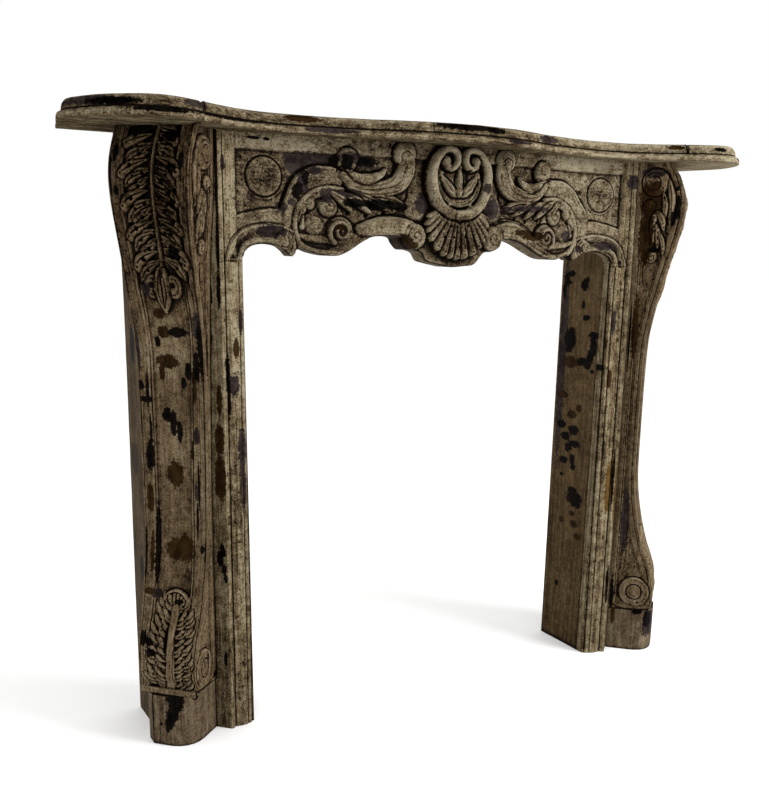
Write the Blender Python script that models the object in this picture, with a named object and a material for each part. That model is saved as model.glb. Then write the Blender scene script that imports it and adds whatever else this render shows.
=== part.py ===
"""A carved wooden fireplace mantelpiece with a bowed shelf, a carved frieze and canted console legs.

Metres, +Z up, +X to the right along the front, +Y towards the wall.  The origin lies on the floor, midway
between the two ends of the shelf and midway between its front and its back edge.
"""

import math

import bmesh
import bpy
import numpy as np

MM = 0.001

# Overall sizes; depths are taken from the front plane of the stiles
HEIGHT = 1.080
WALL = 0.158
FACE_BACK = 0.020  # back of the stiles and of the frieze
BOARD = 0.018
JOINT_GAP = 0.0003

# Shelf
SHELF_THICKNESS = 0.0305
SHELF_PROJECTION = 0.140
SHELF_STEPS = 4  # short straight runs between two knots of the plan
CORNER_JOINT = 0.485
MIDDLE_JOINT = -0.085
SHELF_EDGE = (  # set back from the edge, height above the underside
    (0.0015, 0.0), (0.0, 0.0015), (0.0, 0.0060), (0.0028, 0.0105), (0.0085, 0.0130),
    (0.0085, 0.0185), (0.0100, 0.0235), (0.0125, 0.0280), (0.0160, SHELF_THICKNESS),
)
CARCASS_TOP = HEIGHT - SHELF_THICKNESS - JOINT_GAP

# Opening and upright boards
OPENING_HALF_WIDTH = 0.3945  # at the spring of the arches
OPENING_HALF_WIDTH_LOW = 0.3900  # on the floor
ARCH_SPRING = 0.8515
STILE_BEVEL_EDGE = 0.001
STILE_NOTCH = 0.4073  # above the spring of the arches the stile starts here, beside the frieze
STILE_MOULDING = (  # a flat, a quirk and a bead, up to the arris of the canted outer side
    (0.4275, -0.0098), (0.4292, -0.0070), (0.4310, -0.0105), (0.4335, -0.0135), (0.4365, -0.0150),
    (0.4398, -0.0149),
)
STILE_FLAT_DEPTH = -0.0080
STILE_OUTER = 0.4547  # the canted outer side crosses the front plane here

# Legs, set at forty-five degrees: p runs outwards along the diagonal, s runs along the face
SQRT_HALF = math.sqrt(0.5)
LEG_BACK_P = 0.3220
LEG_OUTER_S = 0.4410
SEAT_P = 0.3575  # behind this the console's outer side sits against the side board
SEAT_EASE = 0.0008
SHAFT_LOW = 0.300  # between these heights the console is plain
SHAFT_HIGH = 0.760
SHAFT_ROWS = 20
FLANK_COLUMNS = 26
FACE_COLUMNS = 44
FOOT_ROLL_CENTRE = (0.3760, 0.1400)
FOOT_ROLL_RADIUS = 0.0395
FOOT_ROLL_LEAST = 0.4085
FOOT_LIP_P = 0.4140  # a narrow lip under the roll, over the plinth
FOOT_LIP_TOP = 0.109
HEAD_SCROLL_CENTRE = (0.3590, 1.0106)
HEAD_SCROLL_RADIUS = 0.030
SCROLL_EYE_RADIUS = 0.012
LEAF_STEM_S = 0.3725

# Plinth blocks
PLINTH_HEIGHT = 0.0975
PLINTH_P = 0.4190
PLINTH_INNER_S = 0.3315
PLINTH_OUTER_S = 0.4250
PLINTH_CORNER = 0.018
PLINTH_CURVE = (  # its inner side, rounded up to a crease on the front
    (0.0, 0.3700), (0.0015, 0.3850), (0.0055, 0.3980), (0.0135, 0.4090), (0.0245, 0.4154),
)
PLINTH_ARRIS = 0.002

# Frieze
FRIEZE_HALF_LENGTH = 0.4067
RAIL_LOW = 1.0239
PANEL_HALF_WIDTH = 0.4050
PANEL_LOW = 0.918
PANEL_DEPTH = 0.006
APRON_INNER_END = 0.315
APRON_RISE = 0.004
DISC_CENTRE = (0.3555, 0.9825)
DISC_RADIUS = 0.0310
DISC_GROOVE = 0.003
DISC_RIM = 0.005
RING_Z = 0.9930
RING_RADIUS = (0.0560, 0.0521)
RING_HALF_WIDTH = 0.0115
RING_HEIGHT = 0.0240
SHELL_TOP = 0.945
SHELL_LOW = 0.851
SHELL_RIBS = 9

CARVING_CELL = 0.0026  # grid that the carving is worked out on, before it is simplified
FRIEZE_ROWS = 76
FRIEZE_TRIANGLES = 4240
CONSOLE_TRIANGLES = 1550
MERGE_DISTANCE = 1e-6

PAINT = (0.47, 0.42, 0.32)
WORN_PAINT = (0.36, 0.31, 0.23)


def clear_scene():
    for thing in list(bpy.data.objects):
        bpy.data.objects.remove(thing, do_unlink=True)


def painted_wood(name, colour):
    material = bpy.data.materials.new(name)
    material.use_nodes = True
    shader = material.node_tree.nodes["Principled BSDF"]
    shader.inputs["Base Color"].default_value = (*colour, 1.0)
    shader.inputs["Roughness"].default_value = 0.62
    shader.inputs["Metallic"].default_value = 0.0
    return material


def finish_object(name, mesh, parent, colour):
    """Gives the mesh a painted-wood material, smooth shading and its place in the mantelpiece."""
    mesh.materials.append(painted_wood(name + "_paint", colour))
    mesh.shade_smooth()
    mesh.set_sharp_from_angle(angle=math.radians(35))
    piece = bpy.data.objects.new(name, mesh)
    bpy.context.collection.objects.link(piece)
    piece.parent = parent
    return piece


def mesh_through(name, loops):
    """A closed mesh through equal loops of points, one after the other; points that meet are merged."""
    loops = np.asarray(loops, float)
    levels, count = loops.shape[:2]
    faces = [tuple(range(count)), tuple(range((levels - 1) * count, levels * count))]
    for level in range(levels - 1):
        for index in range(count):
            here = level * count + index
            after = level * count + (index + 1) % count
            faces.append((here, after, after + count, here + count))
    mesh = bpy.data.meshes.new(name)
    mesh.from_pydata(loops.reshape(-1, 3).tolist(), [], faces)
    shape = bmesh.new()
    shape.from_mesh(mesh)
    bmesh.ops.remove_doubles(shape, verts=shape.verts, dist=MERGE_DISTANCE)
    bmesh.ops.recalc_face_normals(shape, faces=shape.faces)
    shape.to_mesh(mesh)
    shape.free()
    return mesh


def simplified(name, mesh, triangles):
    """The carved mesh with its flatter parts drawn together, down to about the number of triangles."""
    guide = bpy.data.objects.new(name + "_guide", mesh)
    bpy.context.collection.objects.link(guide)
    mesh.calc_loop_triangles()
    simplify = guide.modifiers.new("simplify", "DECIMATE")
    simplify.decimate_type = "COLLAPSE"
    simplify.ratio = triangles / len(mesh.loop_triangles)
    simplify.use_collapse_triangulate = True
    bpy.context.view_layer.update()
    seen = guide.evaluated_get(bpy.context.evaluated_depsgraph_get())
    result = bpy.data.meshes.new_from_object(seen)
    bpy.data.objects.remove(guide, do_unlink=True)
    result.name = name
    return result


def at_height(plan, z):
    return [(x, y, z) for x, y in plan]


def mirrored(plan, side):
    return [(side * x, y) for x, y in plan]


def smooth_path(knots, steps):
    """A Catmull-Rom curve through the knots, with the given number of steps between two of them."""
    knots = np.asarray(knots, float)
    ends = np.vstack([2 * knots[0] - knots[1], knots, 2 * knots[-1] - knots[-2]])
    share = (np.arange(steps) / steps)[:, None]
    stretches = []
    for index in range(len(knots) - 1):
        before, start, end, after = ends[index:index + 4]
        arriving = (end - before) / 2
        leaving = (after - start) / 2
        change = end - start
        stretches.append(
            start + arriving * share + (3 * change - 2 * arriving - leaving) * share**2
            + (arriving + leaving - 2 * change) * share**3
        )
    return np.vstack(stretches + [knots[-1:]])


def smooth_value(place, knots):
    """The value at each place on the smooth curve through the knots (place, value)."""
    path = smooth_path(knots, 12)
    return np.interp(place, path[:, 0], path[:, 1])


def ease(value):
    """Rises smoothly from nought to one as the value does."""
    value = np.clip(value, 0.0, 1.0)
    return value * value * (3 - 2 * value)


def scroll_path(centre, radius, inner_radius, start_degrees, turn_degrees):
    """Points of a scroll that winds from the radius in to the inner radius about its centre."""
    share = np.linspace(0.0, 1.0, 26)
    angle = np.radians(start_degrees + turn_degrees * share)
    reach = radius + (inner_radius - radius) * share
    return np.column_stack([centre[0] + reach * np.cos(angle), centre[1] + reach * np.sin(angle)])


def add_ridge(relief, across, up, path, half_width, height, ground):
    """Raises a round-backed bar along the path; its half width and height run from a start to an end."""
    count = len(path) - 1
    widest = max(half_width)
    for index in range(count):
        first, second = path[index], path[index + 1]
        near = (across > min(first[0], second[0]) - widest) & (across < max(first[0], second[0]) + widest)
        near &= (up > min(first[1], second[1]) - widest) & (up < max(first[1], second[1]) + widest)
        if not near.any():
            continue
        step = second - first
        away_across = across[near] - first[0]
        away_up = up[near] - first[1]
        share = np.clip((away_across * step[0] + away_up * step[1]) / max(float(step @ step), 1e-12), 0, 1)
        distance = np.hypot(away_across - share * step[0], away_up - share * step[1])
        run = (index + share) / count
        half = half_width[0] + (half_width[1] - half_width[0]) * run
        top = height[0] + (height[1] - height[0]) * run
        crown = np.clip(1 - (distance / half) ** 2, 0.0, 1.0) ** 0.4
        raised = np.where(distance < half, ground + top * crown, relief[near])
        relief[near] = np.maximum(relief[near], raised)


def add_boss(relief, across, up, centre, radius, height, ground):
    """Raises a round boss."""
    distance = np.hypot(across - centre[0], up - centre[1]) / radius
    dome = ground + height * np.sqrt(np.clip(1 - distance**2, 0.0, 1.0))
    relief[:] = np.where(distance < 1, np.maximum(relief, dome), relief)


def shelf_knots():
    """Half the plan of the shelf's edge: the bow, the hollow, the canted corner and the end."""
    bow = [(0.0, -0.1175), (0.100, -0.103), (0.200, -0.066)]
    hollow = [(0.300, -0.045), (0.380, -0.050), (0.440, -0.077)]
    corner = [(0.487, -0.110), (0.528, -0.134), (0.566, -SHELF_PROJECTION), (0.604, -0.121), (0.645, -0.080)]
    end = [(0.671, -0.030), (0.681, 0.010), (0.674, 0.060), (0.661, 0.120), (0.656, WALL)]
    return bow + hollow + corner + end


def edge_rings(plan, start, end):
    """The shelf's edge moulding: the plan moved inwards for each step of the profile, between two joints."""
    along = np.gradient(plan, axis=0)
    along /= np.linalg.norm(along, axis=1)[:, None]
    inward = np.column_stack([-along[:, 1], along[:, 0]])
    for set_back, rise in SHELF_EDGE:
        ring = plan + inward * set_back
        ring[:, 0] = np.clip(ring[:, 0], start, end)
        ring[0, 0] = max(ring[0, 0], start) if ring[0, 1] > 0 else start
        ring[-1, 0] = min(ring[-1, 0], end) if ring[-1, 1] > 0 else end
        yield np.vstack([ring, (ring[-1, 0], WALL), (ring[0, 0], WALL)]), HEIGHT - SHELF_THICKNESS + rise


def shelf_board(name, start, end, parent):
    """One length of the shelf between two square joints, moulded along its front edge."""
    half = smooth_path(shelf_knots(), SHELF_STEPS)
    plan = np.vstack([half[::-1] * (-1, 1), half[1:]])[1:-1]
    front = plan[np.abs(plan[:, 0]) < 0.6]
    inside = [point for point in plan if start + MM < point[0] < end - MM]
    first = [(start, np.interp(start, front[:, 0], front[:, 1]))] if start > -1 else []
    last = [(end, np.interp(end, front[:, 0], front[:, 1]))] if end < 1 else []
    loops = [at_height(ring, z) for ring, z in edge_rings(np.array(first + inside + last), start, end)]
    return finish_object(name, mesh_through(name, loops), parent, PAINT)


def opening_half_width(z):
    """The opening narrows a little towards the floor."""
    share = min(z / ARCH_SPRING, 1.0)
    return OPENING_HALF_WIDTH_LOW + (OPENING_HALF_WIDTH - OPENING_HALF_WIDTH_LOW) * share


def stile_plan(inner_front, inner_back):
    """Plan of a moulded upright: a bevelled inner edge, a flat, a quirk, a bead, and a canted outer side."""
    back = [(STILE_OUTER + FACE_BACK - JOINT_GAP, FACE_BACK), (STILE_NOTCH, FACE_BACK)]
    return [inner_front, (STILE_NOTCH, STILE_FLAT_DEPTH), *STILE_MOULDING, *back, inner_back]


def stile(name, side, parent):
    """An upright beside the opening, notched above the spring of the arches where the frieze passes."""
    loops = []
    for z in (0.0, ARCH_SPRING):
        inner = opening_half_width(z)
        plan = stile_plan((inner, STILE_BEVEL_EDGE), (inner, FACE_BACK))
        loops.append(at_height(mirrored(plan, side), z))
    for z in (ARCH_SPRING, CARCASS_TOP):
        plan = stile_plan((STILE_NOTCH, STILE_FLAT_DEPTH), (STILE_NOTCH, FACE_BACK))
        loops.append(at_height(mirrored(plan, side), z))
    return finish_object(name, mesh_through(name, loops), parent, PAINT)


def reveal(name, side, parent):
    """The board that lines the opening's side, from the stile back to the wall."""
    loops = []
    for z in (0.0, ARCH_SPRING, CARCASS_TOP):
        inner, outer, front = opening_half_width(z), OPENING_HALF_WIDTH + BOARD, FACE_BACK + JOINT_GAP
        plan = [(inner, front), (outer, front), (outer, WALL), (inner, WALL)]
        loops.append(at_height(mirrored(plan, side), z))
    return finish_object(name, mesh_through(name, loops), parent, PAINT)


def side_board(name, side, parent):
    """The outer board of a leg, from the console back to the wall, with a slightly hollow outer face."""
    bevel = (LEG_OUTER_S + SEAT_EASE) / SQRT_HALF
    loops = []
    for z, far in ((0.0, 0.5650), (0.25, 0.5635), (0.50, 0.5610), (0.80, 0.5590), (CARCASS_TOP, 0.5630)):
        near = 0.5590 - BOARD
        plan = [(near, bevel - near), (far, bevel - far), (far, WALL), (near, WALL)]
        loops.append(at_height(mirrored(plan, side), z))
    return finish_object(name, mesh_through(name, loops), parent, WORN_PAINT)


def leg_point(side, s, p):
    """Plan position of a point of a leg, from its place along and out of the canted face."""
    return side * (p + s) * SQRT_HALF, (s - p) * SQRT_HALF


def plinth(name, side, parent):
    """The block under a console, rounded on its inner side, with its top edge eased."""
    loops = []
    for z, shrink in ((0.0, 0.0), (PLINTH_HEIGHT - PLINTH_ARRIS, 0.0), (PLINTH_HEIGHT, PLINTH_ARRIS)):
        inner, outer, front = PLINTH_INNER_S + shrink, PLINTH_OUTER_S - shrink, PLINTH_P - shrink
        plan = [(inner, LEG_BACK_P)] + [(inner + along, out - shrink) for along, out in PLINTH_CURVE]
        plan += [(outer - PLINTH_CORNER, front), (outer, front - PLINTH_CORNER), (outer, LEG_BACK_P)]
        loops.append(at_height([leg_point(side, s, p) for s, p in plan], z))
    return finish_object(name, mesh_through(name, loops), parent, PAINT)


def outline_height(x):
    """Height of the frieze's lower edge: an arch with a curled tip, a swag, an ogee, a step, the shell."""
    left = [(-0.4070, 0.8523), (-0.3949, 0.8523), (-0.3920, 0.8605), (-0.3780, 0.8705), (-0.3560, 0.8735),
            (-0.3330, 0.8710), (-0.3170, 0.8635), (-0.3060, 0.8545), (-0.2990, 0.8570), (-0.2940, 0.8675),
            (-0.2700, 0.8605), (-0.2400, 0.8560), (-0.2150, 0.8610), (-0.1800, 0.8830), (-0.1600, 0.8905),
            (-0.1150, 0.8912), (-0.1040, 0.8800), (-0.0930, 0.8700), (-0.0780, 0.8690), (-0.0620, 0.8640),
            (-0.0530, 0.8510), (-0.0380, 0.8465), (-0.0200, 0.8430), (0.0, 0.8400)]
    right = [(0.0260, 0.8420), (0.0500, 0.8460), (0.0690, 0.8660), (0.0860, 0.8690), (0.0970, 0.8750),
             (0.1020, 0.8880), (0.1140, 0.8925), (0.1500, 0.8865), (0.1900, 0.8680), (0.2150, 0.8585),
             (0.2400, 0.8570), (0.2680, 0.8660), (0.2860, 0.8560), (0.3000, 0.8620), (0.3200, 0.8715),
             (0.3450, 0.8740), (0.3700, 0.8700), (0.3870, 0.8625), (0.3949, 0.8523), (0.4070, 0.8523)]
    low = smooth_value(x, left + right)
    over_stile = np.abs(x) > OPENING_HALF_WIDTH - 0.0025
    return np.where(over_stile, np.maximum(low, ARCH_SPRING + 2 * JOINT_GAP), low)


def frieze_front(x):
    """How far the frieze's plain surface stands in front of the stiles, as the shelf bows."""
    half = [(0.0, 0.0345), (0.120, 0.0330), (0.170, 0.0290), (0.237, 0.0200), (0.300, 0.0100),
            (0.350, 0.0072), (0.407, 0.0090), (0.470, 0.0090)]
    return smooth_value(np.abs(x), half)


def half_motif(side):
    """The scrolls and sweeps of one half: paths in millimetres, with half widths and heights along them."""
    bars = [
        ([(224, 986), (262, 982), (292, 963), (308, 935), (314, 905), (308, 878)], (17, 15), (9, 8)),
        ([(414, 900), (396, 912), (365, 917), (335, 914), (318, 905)], (14, 12), (7, 6)),
        ([(402, 858), (396, 874), (378, 884), (352, 887), (326, 880), (308, 868)], (10, 11), (10, 9)),
        ([(276, 872), (292, 888), (297, 915), (288, 942), (264, 960), (236, 968), (206, 966)],
         (5, 5), (13, 12)),
        ([(118, 905), (146, 896), (178, 877), (208, 867), (240, 866), (276, 872)], (9, 7), (11, 12)),
        ([(100, 912), (135, 914), (168, 905), (200, 884)], (6, 5), (9, 9)),
        ([(90, 1018), (91, 996), (103, 974), (128, 962), (160, 958), (192, 966), (214, 984), (222, 1006)],
         (9, 8), (16, 13)),
        ([(118, 1010), (122, 992), (138, 976), (160, 971), (184, 976), (200, 990)], (6, 6), (12, 11)),
        ([(144, 1003), (156, 989), (174, 986), (192, 996)], (5, 6), (11, 11)),
        ([(106, 943), (136, 948), (170, 949), (204, 957), (228, 960)], (5, 10), (9, 12)),
        ([(150, 950), (140, 938), (128, 932)], (6, 3), (11, 9)),
        ([(178, 952), (170, 938), (158, 929)], (6, 3), (11, 9)),
        ([(206, 954), (200, 940), (190, 930)], (6, 3), (11, 9)),
        ([(62, 948), (82, 950), (92, 934)], (15, 13), (12, 10)),
        ([(60, 926), (72, 914), (94, 914)], (6, 5), (12, 10)),
    ]
    scrolls = [
        ((218, 896), 25, 8, -80, 470, (8, 5), (14, 15)),
        ((264, 908), 21, 8, 100, 400, (8, 6), (13, 12)),
        ((238, 938), 15, 6, -60, 380, (6, 5), (13, 13)),
        ((110, 1030), 19, 6, 190, 420, (8, 5), (17, 16)),
        ((86, 893), 19, 6, 60, 430, (7, 5), (14, 13)),
    ]
    for knots, half_width, height in bars:
        yield smooth_path(knots, 5) * MM * (side, 1), half_width, height
    for centre, radius, inner, start, turn, half_width, height in scrolls:
        yield scroll_path(centre, radius, inner, start, turn) * MM * (side, 1), half_width, height


def half_bosses(side):
    """The knobs of one half and the eyes of its two large scrolls."""
    bosses = [(205, 1017, 21, 15), (268, 944, 11, 13), (218, 896, 9, 16), (264, 908, 9, 13)]
    for across, up, radius, height in bosses:
        yield (side * across * MM, up * MM), radius * MM, height * MM


def frieze_ground(x, z):
    """The rails, the sunk panel with its raised apron, and a turned disc near each end."""
    edge = 0.0025
    in_panel = ease((RAIL_LOW - z) / edge) * ease((PANEL_HALF_WIDTH - np.abs(x)) / edge)
    on_apron = ease((PANEL_LOW + 0.010 - z) / edge) * ease((np.abs(x) - APRON_INNER_END) / edge)
    relief = in_panel * (APRON_RISE * on_apron - PANEL_DEPTH)
    distance = np.hypot(np.abs(x) - DISC_CENTRE[0], z - DISC_CENTRE[1])
    groove = ease(1 - np.abs(distance - DISC_RADIUS) / DISC_GROOVE)
    relief = np.where(distance < DISC_RADIUS + MM, -0.0015 - PANEL_DEPTH * groove, relief)
    return np.where(np.abs(distance - DISC_RADIUS - DISC_RIM) < DISC_RIM / 2, -PANEL_DEPTH / 2, relief)


def frieze_relief(x, z):
    """Height of the carving over the frieze's plain surface."""
    ground = -PANEL_DEPTH
    relief = frieze_ground(x, z)
    for side in (-1, 1):
        for path, half_width, height in half_motif(side):
            add_ridge(relief, x, z, path, np.array(half_width) * MM, np.array(height) * MM, ground)
        for centre, radius, height in half_bosses(side):
            add_boss(relief, x, z, centre, radius, height, ground)
    middle = (SHELL_RIBS - 1) / 2
    for rib in range(SHELL_RIBS):
        lean = (rib - middle) / middle
        tip = (lean * 0.052, SHELL_LOW + 0.030 * lean**2)
        path = smooth_path([(lean * 0.022, SHELL_TOP), (lean * 0.034, 0.900), tip], 6)
        add_ridge(relief, x, z, path, (0.0032, 0.0075), (0.020, 0.018), ground)
    angles = np.radians(np.linspace(118, 422, 40))
    ring = np.column_stack([RING_RADIUS[0] * np.cos(angles), RING_Z + RING_RADIUS[1] * np.sin(angles)])
    add_ridge(relief, x, z, ring, (RING_HALF_WIDTH, RING_HALF_WIDTH), (RING_HEIGHT, RING_HEIGHT), ground)
    for side in (-1, 1):
        eye = (side * 0.0280, RING_Z + 0.0330)
        lobe = scroll_path(eye, 0.0210, 0.0060, 90 - side * 60, side * 420)
        lobe_height = (RING_HEIGHT + 0.004, RING_HEIGHT + 0.006)
        add_ridge(relief, x, z, lobe, (0.0085, 0.0065), lobe_height, ground)
        leaf = smooth_path([(side * 0.004, 0.955), (side * 0.020, 0.975), (side * 0.026, 1.000)], 5)
        add_ridge(relief, x, z, leaf, (0.006, 0.011), (0.014, 0.018), ground)
    middle_leaf = smooth_path([(0.0, 0.952), (0.0, 0.985), (0.0, 1.016)], 5)
    add_ridge(relief, x, z, middle_leaf, (0.006, 0.005), (0.020, 0.022), ground)
    return relief


def frieze(name, parent):
    """The frieze board: carved front, cut lower edge, flat back."""
    columns = int(2 * FRIEZE_HALF_LENGTH / CARVING_CELL)
    along = np.linspace(-FRIEZE_HALF_LENGTH, FRIEZE_HALF_LENGTH, columns + 1)
    x = along[:, None] + np.zeros(FRIEZE_ROWS + 1)
    low = outline_height(x)
    z = low + (CARCASS_TOP - low) * np.linspace(0.0, 1.0, FRIEZE_ROWS + 1)
    uncarved_end = np.abs(x) > FRIEZE_HALF_LENGTH - MM
    y = -frieze_front(x) - np.where(uncarved_end, 0.0, frieze_relief(x, z))
    front = np.stack([x, y, z], axis=2)
    back = front[:, [-1, 0]]
    back[:, :, 1] = FACE_BACK
    mesh = simplified(name, mesh_through(name, np.concatenate([front, back], axis=1)), FRIEZE_TRIANGLES)
    return finish_object(name, mesh, parent, PAINT)


def console_front(z):
    """How far the console's front stands out at each height: a swelling head, a waist and a rolled foot."""
    foot = [(0.155, 0.4130), (0.175, 0.4115), (0.205, 0.4015), (0.240, 0.3880), (0.300, 0.3720)]
    waist = [(0.370, 0.3610), (0.450, 0.3580), (0.650, 0.3580), (0.730, 0.3653), (0.820, 0.3850)]
    head = [(0.910, 0.4085), (0.950, 0.4160), (0.980, 0.4160), (1.010, 0.4080), (1.050, 0.3880)]
    centre_p, centre_z = FOOT_ROLL_CENTRE
    reach = np.sqrt(np.clip(FOOT_ROLL_RADIUS**2 - (z - centre_z) ** 2, 0.0, None))
    roll = np.maximum(centre_p + reach, np.where(z < FOOT_LIP_TOP, FOOT_LIP_P, FOOT_ROLL_LEAST))
    return np.where(z < centre_z + 0.018, roll, smooth_value(z, foot + waist + head))


def console_joint(z):
    """Where the inner side of a console meets the canted side of the stile, along the face."""
    foot = [(0.0, 0.3300), (0.300, 0.3285), (0.500, 0.3265), (0.700, 0.3220)]
    return smooth_value(z, foot + [(0.850, 0.3170), (0.950, 0.3090), (1.060, 0.3060)])


def console_inner(z):
    knots = [(0.0, 0.3225), (0.30, 0.3200), (0.60, 0.3165), (0.85, 0.3120), (0.95, 0.3050), (1.06, 0.3040)]
    return smooth_value(z, knots)


def console_outer(z):
    knots = [(0.0, 0.4320), (0.15, 0.4320), (0.30, 0.4390), (0.60, 0.4410), (0.90, 0.4420), (1.06, 0.4430)]
    return smooth_value(z, knots)


def leaflet(hand, root_z, middle_z, tip_z, reach):
    """The path of one carved leaflet, out of the stem to one side."""
    knots = [(0.0, root_z), (hand * reach * 0.6, middle_z), (hand * reach, tip_z)]
    return smooth_path(knots, 5) + (LEAF_STEM_S, 0.0)


def face_relief(s, z, inner, outer):
    """Carving on a console's front: borders, a sunk panel, a hanging acanthus and a rising leaf."""
    share = (s - inner) / (outer - inner)
    relief = -0.0035 * ease((share - 0.19) / 0.02) * ease((0.80 - share) / 0.02)
    for quirk in (0.035, 0.175, 0.815, 0.965):
        relief -= 0.0025 * ease(1 - np.abs(share - quirk) / 0.018)
    ground = -0.004
    for level in range(5):
        root_z = 1.020 - 0.048 * level
        for hand in (-1, 1):
            path = leaflet(hand, root_z, root_z - 0.010, root_z - 0.044, 0.046 - 0.003 * level)
            add_ridge(relief, s, z, path, (0.009, 0.012), (0.006, 0.008), ground)
    for hand, tip_z in ((-1, 0.782), (0, 0.764), (1, 0.786)):
        path = leaflet(hand, 0.830, 0.808, tip_z, 0.026)
        add_ridge(relief, s, z, path, (0.010, 0.007), (0.010, 0.008), ground)
    midrib = smooth_path([(0.370, 1.045), (0.371, 0.940), (0.374, 0.780)], 6)
    add_ridge(relief, s, z, midrib, (0.006, 0.004), (0.009, 0.009), ground)
    for level in range(4):
        root_z = 0.125 + 0.030 * level
        for hand in (-1, 1):
            path = leaflet(hand, root_z, root_z + 0.020, root_z + 0.042, 0.034)
            add_ridge(relief, s, z, path, (0.008, 0.007), (0.007, 0.006), ground)
    stem = smooth_path([(0.372, 0.120), (0.373, 0.200), (0.375, 0.276)], 6)
    add_ridge(relief, s, z, stem, (0.007, 0.009), (0.010, 0.007), ground)
    return relief


def flank_relief(p, z, front):
    """Carving on a console's sides: a border along the profile, a sunk field, the head and foot scrolls."""
    field = ease((front - 0.020 - p) / 0.004) * ease((p - LEG_BACK_P - 0.012) / 0.004)
    relief = -0.0030 * field
    ground = -0.003
    head = scroll_path(HEAD_SCROLL_CENTRE, HEAD_SCROLL_RADIUS, 0.010, -60, 560)
    foot = scroll_path(FOOT_ROLL_CENTRE, FOOT_ROLL_RADIUS - 0.008, 0.009, 60, 500)
    for centre, scroll in ((HEAD_SCROLL_CENTRE, head), (FOOT_ROLL_CENTRE, foot)):
        add_ridge(relief, p, z, scroll, (0.007, 0.005), (0.006, 0.007), ground)
        add_boss(relief, p, z, centre, SCROLL_EYE_RADIUS, 0.008, ground)
    drop = smooth_path([(0.350, 0.972), (0.360, 0.945), (0.362, 0.900), (0.361, 0.862)], 6)
    add_ridge(relief, p, z, drop, (0.011, 0.009), (0.007, 0.005), ground)
    return relief


def console_heights():
    low = PLINTH_HEIGHT + JOINT_GAP
    return np.concatenate([
        np.linspace(low, SHAFT_LOW, int((SHAFT_LOW - low) / CARVING_CELL), endpoint=False),
        np.linspace(SHAFT_LOW, SHAFT_HIGH, SHAFT_ROWS, endpoint=False),
        np.linspace(SHAFT_HIGH, CARCASS_TOP, int((CARCASS_TOP - SHAFT_HIGH) / CARVING_CELL) + 1),
    ])[:, None]


def console(name, side, parent):
    """A scrolled console, set across the corner of the leg."""
    heights = console_heights()
    front, inner, outer = console_front(heights), console_inner(heights), console_outer(heights)
    flank_share = np.linspace(0.0, 1.0, FLANK_COLUMNS + 1)
    p_flank = LEG_BACK_P + (front - LEG_BACK_P) * flank_share
    fade = ease((p_flank - LEG_BACK_P - 0.004) / 0.006) * ease((front - p_flank) / 0.004)
    carving = flank_relief(p_flank, heights + 0 * p_flank, front) * fade
    joint = console_joint(heights)
    s_inner = joint + (inner - joint) * flank_share - carving
    seat = LEG_OUTER_S - SEAT_EASE
    back_outer = np.minimum(outer, seat)
    s_outer = back_outer + (outer - back_outer) * flank_share + carving
    s_outer = np.where(p_flank < SEAT_P, np.minimum(s_outer, seat), s_outer)
    s_face = inner + (outer - inner) * np.linspace(0.0, 1.0, FACE_COLUMNS + 1)[1:-1]
    p_face = front + face_relief(s_face, heights + 0 * s_face, inner, outer)
    s_all = np.hstack([s_inner, s_face, s_outer[:, ::-1]])
    p_all = np.hstack([p_flank, p_face, p_flank[:, ::-1]])
    x, y = leg_point(side, s_all, p_all)
    loops = np.stack([x, y, heights + 0 * x], axis=2)
    mesh = simplified(name, mesh_through(name, loops), CONSOLE_TRIANGLES)
    return finish_object(name, mesh, parent, WORN_PAINT)


def build_mantelpiece():
    clear_scene()
    centre = bpy.data.objects.new("mantelpiece", None)
    bpy.context.collection.objects.link(centre)
    shelf_front = smooth_path(shelf_knots(), SHELF_STEPS)[:, 1].min()
    centre.location = (0.0, -(shelf_front + WALL) / 2, 0.0)
    ease_in = JOINT_GAP / 2
    shelf_board("shelf_end_left", -math.inf, -CORNER_JOINT - ease_in, centre)
    shelf_board("shelf_front_left", -CORNER_JOINT + ease_in, MIDDLE_JOINT - ease_in, centre)
    shelf_board("shelf_front_right", MIDDLE_JOINT + ease_in, CORNER_JOINT - ease_in, centre)
    shelf_board("shelf_end_right", CORNER_JOINT + ease_in, math.inf, centre)
    frieze("frieze", centre)
    for word, side in (("left", -1), ("right", 1)):
        stile("stile_" + word, side, centre)
        reveal("reveal_" + word, side, centre)
        side_board("side_board_" + word, side, centre)
        console("console_" + word, side, centre)
        plinth("plinth_" + word, side, centre)


build_mantelpiece()
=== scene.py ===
"""The looks of a carved wooden fireplace mantelpiece in worn paint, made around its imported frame.

Metres, +Z up, +X to the right along the front, +Y towards the wall.  The carved faces are worked out in
millimetres on a grid, and become closed meshes.
"""

import math

import bmesh
import bpy
import numpy as np
from mathutils import Matrix, Vector


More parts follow.
